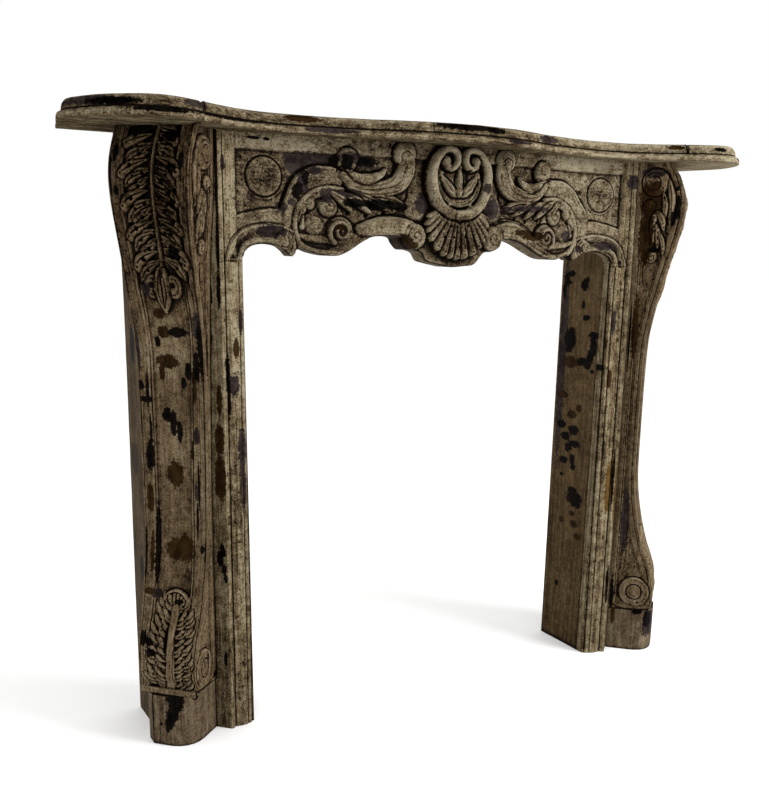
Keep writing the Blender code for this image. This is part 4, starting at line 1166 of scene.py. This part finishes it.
STILE_FACE = (  # distance from the middle of the piece, rise over the stile's front plane
    (394.5, -1.0), (395.5, 2.2), (398.0, 5.4), (401.5, 6.4), (403.2, 5.6), (404.2, 4.6), (405.6, 8.2),
    (408.0, 9.0), (424.0, 9.8), (427.0, 9.9), (428.4, 8.8), (429.4, 6.6), (430.4, 9.2), (431.6, 11.6),
    (434.0, 13.8), (437.0, 14.9), (439.0, 14.9), (439.8, 14.6),
)
STILE_ARRIS = 439.8
CANT_P = 321.5  # the canted outer side lies in this plane, parallel to the console's face
CANT_START = 300.6
CANT_END = 349.4
MOULDING_END = 429.0  # the frieze's rail runs on over the stile's top as far as this
NOTCH_GAP = 0.6  # between the frieze's end and the stile
STILE_REAR = 20.0  # behind the front plane
FACE_STEPS = 58
CANT_STEPS = 26
REAR_STEPS = 9
EDGE_STEPS = 8


def stile_relief(x, z):
    """The stile's moulded front; at the top it takes up the frieze's rail and the arch moulding."""
    across, rise = np.array(STILE_FACE).T
    moulded = np.interp(x, across, rise)
    plain = np.interp(x, [404.0, 408.0, 424.0, 430.0], [8.6, 9.0, 9.8, 10.3])
    on_rail = x < MOULDING_END
    share = ease((z - 846.0) / 14.0) * on_rail
    height = moulded * (1 - share) + plain * share
    c = Carving(x, z, np.zeros(x.shape))
    carve_arch(c)
    height = height + c.height * ease((z - 838) / 8.0) * on_rail
    height -= 1.8 * near_line(z - 845.0, 1.8) * on_rail
    height += 0.3 * lattice_noise(x, z, 9.0, 8) + 0.4 * lattice_noise(x * 3, z, 55.0, 9)
    return height - 0.7 * pitting(x, z, 7.0, 15)


def build_stile(word, side, material):
    """An upright beside the opening, its inner edge cut back at the top to take the frieze."""
    joint, notch = NOTCH_HEIGHT, FRIEZE_HALF_LENGTH / MM + NOTCH_GAP
    low = np.linspace(0, 820, 190, endpoint=False)
    high = np.concatenate([np.linspace(820, joint - 1, 24), [joint]])
    top = np.linspace(joint + 0.1, CARCASS_TOP / MM, 130)
    z = np.concatenate([low, high, top])[:, None]
    inner = np.where(z > joint, notch, opening_half_width(z * MM) / MM)
    face = inner + (STILE_ARRIS - inner) * np.linspace(0, 1, FACE_STEPS)
    relief = stile_relief(face, z + 0 * face)
    relief[:, :1] = np.where(z > joint, relief[:, :1], -1.0)
    cant = CANT_START + (CANT_END - CANT_START) * np.linspace(0, 1, CANT_STEPS) + 0 * z
    bumps = 0.25 * lattice_noise(cant * 3, z + 0 * cant, 50.0, 10) - 0.25
    cant_x, cant_y = (CANT_P + bumps + cant) * SQRT_HALF, (cant - CANT_P - bumps) * SQRT_HALF
    rear_x = inner + (cant_x[:, -1:] - inner) * np.linspace(1, 0, REAR_STEPS)[1:-1]
    inward = np.linspace(1, 0, EDGE_STEPS)[:-1]
    edge_y = STILE_REAR - (relief[:, :1] + STILE_REAR) * (1 - inward)
    x = np.hstack([face, cant_x, rear_x, inner + 0 * edge_y])
    y = np.hstack([-relief, np.minimum(cant_y, STILE_REAR), STILE_REAR + 0 * rear_x, edge_y])
    loops = np.stack([side * x * MM, FRONT_PLANE + y * MM, z * MM + 0 * x], axis=2)
    name = "stile_%s_moulded" % word
    mesh = mesh_through(name, loops)
    hollow, rubbed_and_highlit = cavities(relief, 1.0)
    # Painted shade: in the moulding's quirk, at the step beside the frieze's panel, on the notch's edge, in
    # the corner against the console and beside the bead
    beside_panel = ease((1026 - z) / 4)
    quirk = 0.35 * near_line(face - 429.4, 1.8) * ease((z - 60) / 200)
    step = ease(1 - (face - notch) / 1.2) * ease((z - 920) / 8) * beside_panel
    seat = np.where(z < PLINTH_TOP / MM, PLINTH_INNER, console_joint(z))
    beside_console = 0.8 * near_line(cant - seat, 2.6) + ease((cant - seat) / 1.0)
    beside_bead = 0.75 * ease((306.5 - cant) / 2.0) * ease((z - 830) / 40)
    side_step = ease((z - 915) / 8) * beside_panel + 0 * edge_y
    hollow = np.hstack([hollow + quirk + step, beside_console + beside_bead, 0 * rear_x, side_step])
    hollow = np.clip(hollow, 0, 1)
    rubbed_and_highlit = np.hstack([rubbed_and_highlit, 0 * cant, 0 * rear_x, 0 * edge_y])
    across, _, up = points_of(mesh).T / MM
    dirt = np.interp(up, [0, 450, 650, 1050], [0.15, 0.1, -0.75, -0.6]) if side < 0 else 0 * up
    finish_piece(name, mesh, "stile_" + word, material, (hollow, rubbed_and_highlit, dirt), np.abs(across), up,
                 STILE_PATCHES[word])


# On the reveals and the side boards the patches lie at their depth behind the front plane
REVEAL_PATCHES = {
    "left": {"brown": [(90, 600, 20, 16)], "dark": [(60, 400, 10, 14)]},
    "right": {
        "dark": [(122, 828, 10, 6), (139, 821, 9, 7), (135, 809, 15, 4), (145, 792, 6, 15), (77, 806, 12, 11),
                 (68, 816, 5, 8), (77, 764, 5, 8), (64, 738, 12, 6), (115, 691, 20, 20), (110, 709, 10, 6),
                 (118, 669, 10, 8), (33, 703, 18, 7), (35, 680, 11, 20), (43, 657, 10, 14), (69, 645, 18, 8),
                 (49, 638, 10, 7), (33, 627, 6, 4), (128, 502, 15, 8), (85, 494, 16, 10), (112, 477, 16, 8),
                 (77, 464, 19, 7), (99, 454, 11, 10), (113, 423, 15, 7), (81, 429, 8, 11), (77, 412, 9, 6),
                 (116, 390, 6, 4), (65, 342, 24, 15), (74, 360, 15, 8), (55, 332, 14, 7), (110, 134, 6, 7)],
        "brown": [(108, 641, 26, 11), (130, 567, 20, 7), (70, 544, 9, 8), (93, 528, 15, 8), (71, 308, 10, 6),
                  (60, 286, 12, 8), (46, 260, 12, 7), (106, 286, 8, 7)],
        "purple": [(140, 640, 12, 200)],
    },
}


REVEAL_INNER = 0.3945
REVEAL_OUTER = 0.4125
REVEAL_FRONT = 0.0203  # behind the front plane
SIDE_INNER = 0.541
SIDE_OUTER = 0.559
SIDE_BOW = [(0.0, 0.0060), (0.25, 0.0045), (0.50, 0.0020), (0.80, 0.0), (1.05, 0.0040)]  # height, how far out
SIDE_PATCHES = {"dark": [(110, 700, 14, 30), (90, 980, 26, 40), (100, 300, 10, 20)],
                "brown": [(120, 500, 20, 26)]}


def build_reveal(word, side, material):
    """The board that lines the opening's side."""
    name = "reveal_%s_board" % word
    corners = [(REVEAL_INNER, REVEAL_FRONT), (REVEAL_OUTER, REVEAL_FRONT), (REVEAL_OUTER, STILE_TO_WALL),
               (REVEAL_INNER, STILE_TO_WALL)]

    def taper(places):
        reach = np.abs(places[:, 0])
        inner = ease((REVEAL_OUTER - reach) / (REVEAL_OUTER - REVEAL_INNER))
        places[:, 0] = side * (reach + (opening_half_width(places[:, 2]) - REVEAL_INNER) * inner)
        places[:, 1] = np.clip(places[:, 1], FRONT_PLANE + REVEAL_FRONT, WALL)
        return places

    mesh = build_run(name, side, corners, material, 5.0 + side)
    _, y, up = shaped(mesh, taper).T / MM
    depth, from_wall = y - FRONT_PLANE / MM, WALL / MM - y
    # painted shade in the corner behind the stile and at the floor, a paler back edge at the wall, and darker
    # towards the bottom
    state = (0.7 * ease(1 - (depth - 20) / 3.0) + 0.5 * ease(1 - up / 12.0), 0.4 * ease(1 - from_wall / 4.0),
             np.interp(up, [0, 450, 800], [0.55, 0.25, -0.3]))
    finish_piece(name, mesh, "reveal_" + word, material, state, depth, up, REVEAL_PATCHES[word])


def build_side_board(word, side, material):
    """The outer board of a leg, from the console back to the wall."""
    name = "side_board_%s_planed" % word
    bevel = (LEG_OUTER_S + SEAT_EASE) * MM / SQRT_HALF
    corners = [(SIDE_INNER, bevel - SIDE_INNER), (SIDE_OUTER, bevel - SIDE_OUTER),
               (SIDE_OUTER, STILE_TO_WALL), (SIDE_INNER, STILE_TO_WALL)]

    def bow_out(places):
        reach = np.abs(places[:, 0])
        outer = ease((reach - SIDE_INNER) / (SIDE_OUTER - SIDE_INNER))
        reach = reach + smooth_value(places[:, 2], SIDE_BOW) * outer
        places[:, 0] = side * reach
        places[:, 1] = FRONT_PLANE + np.maximum(places[:, 1] - FRONT_PLANE, bevel - reach)
        places[:, 1] = np.minimum(places[:, 1], WALL)
        return places

    mesh = build_run(name, side, corners, material, 8.0 + side)
    _, y, up = shaped(mesh, bow_out).T / MM
    depth, from_wall = y - FRONT_PLANE / MM, WALL / MM - y
    # painted shade in the corner against the console, and a paler back edge at the wall
    state = 0.8 * ease(1 - (depth - 66) / 6.0), 0.3 * ease(1 - from_wall / 4.0), 0 * up
    finish_piece(name, mesh, "side_board_" + word, material, state, depth, up, SIDE_PATCHES)


# On the left plinth the patches lie along the canted face, on the right one outwards
PLINTH_PATCHES = {
    "left": {"dark": [(364, 89, 15, 8), (362, 77, 12, 13), (368, 62, 11, 14), (373, 46, 8, 14),
                      (378, 34, 4, 10), (330, 89, 7, 6), (391, 40, 3, 4), (406, 60, 2, 36)]},
    "right": {"dark": [(387, 92, 11, 6), (409, 74, 9, 18)], "brown": [(333, 80, 4, 20)],
              "purple": [(410, 60, 10, 26)]},
}
PLINTH_SOILING = {"left": [], "right": [(405, 18, 18, 24, -0.9)]}
PLINTH_OUTER = 425.0
PLINTH_FRONT = 419.0
PLINTH_CUT = 18  # off the outer corner


def build_plinth(word, side, material):
    """The block under a console, its inner corner rounded from a crease and its top edge eased."""
    rows = []
    top = PLINTH_TOP / MM
    levels = [(0.0, 1.2), (1.5, 0.0)] + [(z, 0.0) for z in range(6, 86, 4)]
    levels += [(88.0, 0.0), (91.0, 0.2), (94.0, 0.4), (96.0, 1.2)]
    levels += [(top, shrink) for shrink in (3.4, 9.0, 16.0, 26.0)]
    for z, shrink in levels:
        outer, front = PLINTH_OUTER - shrink, PLINTH_FRONT - shrink
        plan = [(PLINTH_INNER, LEG_BACK_P)]
        for s, p in PLINTH_CORNER:
            set_back = shrink * ease((p - 385) / 25)
            plan.append((s + set_back, p - set_back))
        plan += [(outer - PLINTH_CUT, front), (outer, front - PLINTH_CUT), (outer, LEG_BACK_P)]
        s, p = eased_plan(plan, 0.8, 3.0).T
        rows.append(np.column_stack([*leg_place(side, s, p), np.full(len(s), z * MM)]))
    count = min(len(row) for row in rows)
    rows = [row[np.linspace(0, len(row) - 1, count).round().astype(int)] for row in rows]
    name = "plinth_%s_block" % word
    mesh = mesh_through(name, np.array(rows))
    x, y, z = points_of(mesh).T
    x, y, up = side * x / MM / SQRT_HALF, (y - FRONT_PLANE) / MM / SQRT_HALF, z / MM
    s, p = (x + y) / 2, (x - y) / 2
    set_in = np.minimum(PLINTH_FRONT - p, np.minimum(s - PLINTH_INNER, PLINTH_OUTER - s))
    # painted shade on the plinth: over its top under the console's foot, along its top edge and at the floor
    on_top = ease((set_in - 9.0) / 6.0) * (up > 95)
    hollow = ease((up - 94.5) / 1.5) + 0.5 * ease(1 - up / 5.0) + on_top
    facing = s - np.maximum(0.0, 398 - p) if side < 0 else p
    state = hollow, 0 * up, soiling_and_light(facing, up, PLINTH_SOILING[word])
    finish_piece(name, mesh, "plinth_" + word, material, state, facing, up, PLINTH_PATCHES[word])


SHELF_EDGE = (  # set back from the edge, height above the underside
    (1.5, 0.0), (0.4, 0.4), (0.0, 1.5), (0.0, 4.0), (0.3, 6.5), (1.2, 9.0), (2.8, 10.8), (5.0, 12.0),
    (8.0, 12.6), (8.5, 13.4), (8.4, 15.5), (8.6, 18.5), (9.2, 21.5), (10.4, 24.5), (12.2, 27.3),
    (14.2, 29.4), (16.5, 30.4),
)


def shelf_plan():
    """The plan of the shelf's edge: the bow, the hollows, the canted corners and the ends."""
    bow = [(0.0, -0.1175), (0.100, -0.103), (0.200, -0.066)]
    hollow = [(0.300, -0.045), (0.380, -0.050), (0.440, -0.077)]
    corner = [(0.487, -0.110), (0.528, -0.134), (0.566, -0.140), (0.604, -0.121), (0.645, -0.080)]
    end = [(0.671, -0.030), (0.681, 0.010), (0.674, 0.060), (0.661, 0.120), (0.656, 0.158)]
    half = smooth_path(bow + hollow + corner + end, 40)
    return np.vstack([half[::-1] * (-1, 1), half[1:]])


SHELF_PATCHES = {  # along the shelf, height over the underside
    "dark": [(-20, 26, 55, 6), (40, 24, 20, 5), (-560, 9, 40, 4), (-440, 12, 60, 3), (-620, 20, 30, 5),
             (545, 22, 14, 4)],
    "brown": [(-300, 24, 30, 5), (610, 8, 16, 3), (640, 8, 8, 3), (470, 24, 12, 4)],
    "purple": [(180, 22, 26, 6), (-640, 22, 30, 6), (-255, 8, 40, 4), (-500, 24, 20, 5), (90, 8, 30, 3)],
}
# darker at the left end and lighter to the right: dirt, and painted light falling from the right
SHELF_SOILING_AND_LIGHT = ([-650, -300, 0, 300, 500, 660], [0.45, 0.35, 0.40, -0.25, -0.7, -1.3])
SHELF_NODES = ("shelf_end_left", "shelf_front_left", "shelf_front_right", "shelf_end_right")
SHELF_JOINTS = (-0.485, -0.085, 0.485)
SHELF_GAP = 0.00015  # a joint is open this far to either side
SHELF_SPACING = 0.003
SHELF_SEED = 21.0
BEYOND_ENDS = 1.0  # a cut farther out than this is no joint, and the shelf runs to its own end


def build_shelf_board(node, start, end, moulding, material):
    """One length of the shelf between two square joints, its edge moulding swept along the plan."""
    plan = shelf_plan()
    front = plan[np.abs(plan[:, 0]) < 0.6]
    inside = [point for point in plan if start + MM < point[0] < end - MM]
    first, last = [
        [(cut, np.interp(cut, *front.T))] if abs(cut) < BEYOND_ENDS else [] for cut in (start, end)]
    edge = np.array(first + inside + last)
    length = np.concatenate([[0.0], np.cumsum(np.hypot(*np.diff(edge, axis=0).T))])
    marks = np.linspace(0, length[-1], int(length[-1] / SHELF_SPACING) + 1)
    edge = np.column_stack([np.interp(marks, length, values) for values in edge.T])
    inset = (SHELF_EDGE[-1][0] + 1) * MM
    back_start = start if first else edge[0, 0] + inset
    back_end = end if last else edge[-1, 0] - inset
    points = np.column_stack([edge + (0.0, FRONT_PLANE), np.full(len(edge), SHELF_LOW)])
    name = node + "_board"
    mesh = swept_mesh(name, wire_object(name + "_plan", points, False), SHELF_TREE, {
        "Moulding": moulding, "Wall": WALL, "Back start": back_start, "Back end": back_end,
        "Dent depth": DENT_DEPTH, "Dent size": 0.045, "Seed": SHELF_SEED, "Material": material})

    def trim(places):
        return np.clip(places, (start, -math.inf, SHELF_LOW), (end, WALL, TOP))

    x, y, z = shaped(mesh, trim).T
    across, rise = x / MM, (z - SHELF_LOW) / MM
    # painted shade in the groove between the two members, and a painted highlight along both rounded members,
    # over the paint worn there
    state = (near_line(rise - 13.0, 1.8), 0.7 * near_line(rise - 6, 4) + 0.7 * near_line(rise - 27, 4),
             np.interp(across, *SHELF_SOILING_AND_LIGHT))
    behind = (y - FRONT_PLANE - np.interp(x, *front.T)) / MM
    around_edge = rise + np.where(rise > 29.9, behind, 0.0) - np.where(rise < 0.3, behind, 0.0)
    finish_piece(name, mesh, node, material, state, across, around_edge, SHELF_PATCHES)


def build_shelf(material):
    """The four lengths of the shelf, all swept with one moulding."""
    section = np.array(SHELF_EDGE + ((22.0, 30.5), (60.0, 30.5), (60.0, 0.0), (22.0, 0.0))) * -MM
    at_wall = [0.0] * (len(SHELF_EDGE) + 1) + [1.0, 1.0, 0.0]
    moulding = wire_object("edge_moulding", np.column_stack([section, np.zeros(len(section))]), True,
                           {"at_wall": at_wall})
    starts = [-math.inf] + [joint + SHELF_GAP for joint in SHELF_JOINTS]
    ends = [joint - SHELF_GAP for joint in SHELF_JOINTS] + [math.inf]
    for node, start, end in zip(SHELF_NODES, starts, ends):
        build_shelf_board(node, start, end, moulding, material)
    bpy.data.objects.remove(moulding, do_unlink=True)


# Finishes
COATS = (  # the coats of paint and dirt, from deep in the hollows, where painted shade falls, to the most worn, where a painted highlight falls too: how worn, colour
    (0.03, (0.007, 0.005, 0.0035)), (0.20, (0.030, 0.021, 0.012)), (0.34, (0.082, 0.058, 0.033)),
    (0.50, (0.150, 0.113, 0.068)), (0.66, (0.235, 0.190, 0.120)), (0.90, (0.385, 0.335, 0.235)),
)
LAYERS = (  # what shows where a coat is gone: name, darker and lighter colour
    ("purple", (0.012, 0.008, 0.008, 1), (0.032, 0.024, 0.021, 1)),
    ("brown", (0.010, 0.0045, 0.001, 1), (0.024, 0.012, 0.004, 1)),
    ("ochre", (0.045, 0.024, 0.006, 1), (0.085, 0.048, 0.013, 1)),
    ("dark", (0.0008, 0.0006, 0.0005, 1), (0.004, 0.003, 0.0025, 1)),
)


def paint_finish(name, slot, grain_axis, tone, contrast, grain, seed, gloss=0.01):
    """Old matt paint over dark wood: worn and streaked along the grain, near black in the hollows with dirt
    and painted shade, pale on proud parts where it is worn by rubbing and carries a painted highlight, and
    flaked off in patches that show black, brown, ochre and purple-grey layers."""
    material = bpy.data.materials.new(name)
    material["slot"] = slot
    material.use_nodes = True
    tree = NodeTree(material.node_tree)
    shader = material.node_tree.nodes["Principled BSDF"]
    place = tree.add("ShaderNodeTexCoord").outputs["Object"]

    def along_grain(across, along, shift):
        sizes = [across, across, across]
        sizes[grain_axis] = along
        return tree.add("ShaderNodeMapping", {
            "Vector": place, "Scale": sizes, "Location": (shift + seed, shift * 0.7, shift * 0.3)}).outputs[0]

    def noise(vector, scale, detail=4.0, rough=0.6, distortion=0.0):
        """Noise about nought."""
        node = tree.add("ShaderNodeTexNoise", {
            "Vector": vector, "Scale": scale, "Detail": detail, "Roughness": rough, "Distortion": distortion})
        return tree.math("SUBTRACT", node.outputs[0], 0.5)

    def ramp(value, low, high, to_low=0.0, to_high=1.0):
        """Leads a value smoothly from one range to another."""
        node = tree.add("ShaderNodeMapRange", {
            "Value": value, "From Min": low, "From Max": high, "To Min": to_low, "To Max": to_high},
            interpolation_type="SMOOTHSTEP")
        return node.outputs[0]

    def mix(share, first, second):
        node = tree.add("ShaderNodeMix", data_type="RGBA")
        tree.join(node.inputs[0], share)
        tree.join(node.inputs[6], first)
        tree.join(node.inputs[7], second)
        return node.outputs[2]

    def total(*terms):
        """The sum of fields, each times its weight."""
        value = None
        for field, weight in terms:
            part = tree.math("MULTIPLY", field, weight)
            value = part if value is None else tree.math("ADD", value, part)
        return value

    def attribute(title):
        return tree.add("ShaderNodeAttribute", attribute_name=title).outputs["Fac"]

    clouds = noise(place, 9.0, 3.0)
    mottle = noise(place, 55.0, 4.0, 0.7)
    speck = noise(place, 380.0, 2.0, 0.7)
    brush = noise(along_grain(330.0, 16.0, 1.0), 1.0, 3.0, 0.65)
    streak = noise(along_grain(120.0, 4.5, 4.0), 1.0, 4.0, 0.65, 0.5)
    band = noise(along_grain(34.0, 1.7, 9.0), 1.0, 3.0, 0.6, 0.4)
    rubbed_and_highlit, hollow = attribute("rubbed_and_highlit"), attribute("hollow")

    # how worn the paint is, lighter on proud parts with a painted highlight and darker in the hollows with
    # painted shade
    wear_and_shading = total((clouds, 0.55 * contrast), (mottle, 0.95 * contrast), (speck, 1.15 * contrast),
                 (brush, 1.05 * grain), (streak, 0.95 * grain), (band, 0.5 * grain), (rubbed_and_highlit, 0.32),
                 (hollow, -0.70), (attribute("soiling_and_light"), -0.22))
    wear_and_shading = tree.math("ADD", wear_and_shading, 0.5)
    coats = tree.add("ShaderNodeValToRGB", {"Fac": wear_and_shading})
    elements = coats.color_ramp.elements
    while len(elements) < len(COATS):
        elements.new(0.5)
    for element, (position, coat) in zip(elements, COATS):
        element.position = position
        element.color = (*[channel * shade for channel, shade in zip(coat, tone)], 1.0)
    colour = coats.outputs[0]

    # Patches where a whole layer is gone, ragged along the grain
    ragged = total((noise(place, 150.0, 5.0, 0.75), 2.0), (streak, 0.6), (brush, 0.3))
    losses = []
    for title, first, second in LAYERS:
        inside = ramp(total((attribute("loss_" + title), 1.0), (ragged, 1.0)), -0.02, 0.03)
        losses.append(inside)
        layer = mix(ramp(total((mottle, 1.0), (streak, 0.7)), -0.12, 0.14), first, second)
        colour = mix(tree.math("MULTIPLY", inside, 0.99), colour, layer)
    dots = ramp(total((noise(place, 260.0, 3.0, 0.6), 1.0), (clouds, 0.5), (hollow, 0.22)), 0.165, 0.22)
    colour = mix(tree.math("MULTIPLY", dots, 0.85), colour, (0.010, 0.007, 0.005, 1))
    # near black dirt in streaks and specks, and painted shade in the hollows
    grime_and_shade = ramp(total((hollow, 1.0), (mottle, 1.1), (speck, 0.6), (streak, 1.3), (band, 0.9)), 0.45, 0.95)
    colour = mix(tree.math("MULTIPLY", grime_and_shade, 0.95), colour, (0.003, 0.002, 0.0015, 1))
    tree.join(shader.inputs["Base Color"], colour)

    gone = tree.math("MAXIMUM", dots, ramp(wear_and_shading, 0.40, 0.16))
    for inside in losses:
        gone = tree.math("MAXIMUM", gone, inside)
    tree.join(shader.inputs["Roughness"], ramp(total((mottle, 0.8), (gone, -0.3)), -0.4, 0.3, 0.42, 0.72))
    shader.inputs["Specular IOR Level"].default_value = gloss
    height = total((gone, -0.55), (brush, 0.9), (streak, 0.7), (speck, 0.5), (mottle, 0.4))
    bump = tree.add("ShaderNodeBump", {"Height": height, "Strength": 0.6, "Distance": 0.0010})
    tree.join(shader.inputs["Normal"], bump.outputs[0])
    return material


# Building the pieces
BOARD_TREE = board_tree()
SHELF_TREE = shelf_tree()
frieze_paint = paint_finish("old_paint_frieze", "frieze_paint", 0, (0.55, 0.537, 0.523), 1.35, 0.40, 1.0)
shelf_paint = paint_finish("old_paint_shelf", "shelf_paint", 0, (0.63, 0.62, 0.60), 1.0, 0.95, 4.0, 0.0)
upright_paint = paint_finish("old_paint_uprights", "upright_paint", 2, (0.62, 0.60, 0.55), 1.1, 0.90, 7.0)
# The reveals and side boards take darker copies of the paint: painted shade on these boards, which stand
# sideways to the light
reveal_paint_shaded = paint_finish("old_paint_reveals_shaded", "upright_paint", 2, (0.43, 0.365, 0.28), 0.65, 0.50, 8.0)
side_paint_shaded = paint_finish("old_paint_side_boards_shaded", "side_board_paint", 2, (0.36, 0.32, 0.28), 0.8, 0.7, 9.0)
console_paint = paint_finish("old_paint_consoles", "console_paint", 2, (0.53, 0.475, 0.43), 0.80, 0.55, 11.0)
plinth_paint = paint_finish("old_paint_plinths", "plinth_paint", 2, (0.56, 0.53, 0.53), 0.75, 0.55, 13.0)

build_frieze(frieze_paint)
for word, side in (("left", -1), ("right", 1)):
    build_console(word, side, console_paint)
    build_stile(word, side, upright_paint)
    build_reveal(word, side, reveal_paint_shaded)
    build_side_board(word, side, side_paint_shaded)
    build_plinth(word, side, plinth_paint)
build_shelf(shelf_paint)


# Floor, light and camera
FLOOR_REACH = 30.0


def build_floor():
    """A wide pale floor."""
    mesh = bpy.data.meshes.new("floor")
    corners = [(x * FLOOR_REACH, y * FLOOR_REACH, 0) for x, y in ((-1, -1), (1, -1), (1, 1), (-1, 1))]
    mesh.from_pydata(corners, [], [(0, 1, 2, 3)])
    floor = bpy.data.objects.new("floor", mesh)
    bpy.context.scene.collection.objects.link(floor)
    material = bpy.data.materials.new("pale_floor")
    material.use_nodes = True
    shader = material.node_tree.nodes["Principled BSDF"]
    shader.inputs["Base Color"].default_value = (0.93, 0.93, 0.925, 1)
    shader.inputs["Roughness"].default_value = 0.9
    shader.inputs["Emission Color"].default_value = (1.0, 1.0, 1.0, 1)
    shader.inputs["Emission Strength"].default_value = 0.1
    mesh.materials.append(material)


def add_light(name, place, target, size, power):
    """A square white light that looks from its place at the target."""
    light = bpy.data.lights.new(name, "AREA")
    light.size = size
    light.energy = power
    lamp = bpy.data.objects.new(name, light)
    bpy.context.scene.collection.objects.link(lamp)
    lamp.location = place
    lamp.rotation_euler = (Vector(target) - Vector(place)).to_track_quat("-Z", "Y").to_euler()


def build_lights():
    """An even white surround, a key light from the right and a weak one from the left."""
    world = bpy.data.worlds.new("studio")
    bpy.context.scene.world = world
    world.use_nodes = True
    background = world.node_tree.nodes["Background"]
    background.inputs["Color"].default_value = (1.0, 1.0, 1.0, 1)
    background.inputs["Strength"].default_value = 1.0
    add_light("key", (1.7, -1.9, 1.8), (0.3, 0.0, 0.75), 1.4, 78)
    add_light("fill", (-2.6, -2.4, 1.4), (0.0, 0.0, 0.6), 2.0, 8)


CAMERA_PLACE = (-1.0191, -1.7281, 0.8675)
CAMERA_YAW = 29.396  # degrees, as are the next two
CAMERA_PITCH = 14.924
CAMERA_ROLL = 1.266
FRAME_WIDTH = 769
FRAME_HEIGHT = 800
FOCAL_PIXELS = 1037.26
PRINCIPAL_POINT = (414.51, 527.50)


def build_camera():
    """The camera stands where the photograph was taken from, with the photograph's framing."""
    yaw, pitch, roll = map(math.radians, (CAMERA_YAW, CAMERA_PITCH, CAMERA_ROLL))
    ahead = np.array([math.sin(yaw) * math.cos(pitch), math.cos(yaw) * math.cos(pitch), -math.sin(pitch)])
    right = np.array([math.cos(yaw), -math.sin(yaw), 0.0])
    up = np.cross(right, ahead)
    rolled_right = math.cos(roll) * right + math.sin(roll) * up
    rolled_up = -math.sin(roll) * right + math.cos(roll) * up
    rows = np.column_stack([rolled_right, rolled_up, -ahead, CAMERA_PLACE]).tolist()
    lens = bpy.data.cameras.new("camera")
    lens.sensor_fit = "VERTICAL"
    lens.sensor_height = 24.0
    lens.lens = FOCAL_PIXELS / FRAME_HEIGHT * lens.sensor_height
    lens.shift_x = (FRAME_WIDTH / 2 - PRINCIPAL_POINT[0]) / FRAME_HEIGHT
    lens.shift_y = (PRINCIPAL_POINT[1] - FRAME_HEIGHT / 2) / FRAME_HEIGHT
    camera = bpy.data.objects.new("camera", lens)
    bpy.context.scene.collection.objects.link(camera)
    camera.matrix_world = Matrix([*rows, (0, 0, 0, 1)])
    bpy.context.scene.camera = camera


build_floor()
build_lights()
build_camera()
bpy.context.scene.view_settings.view_transform = "Standard"
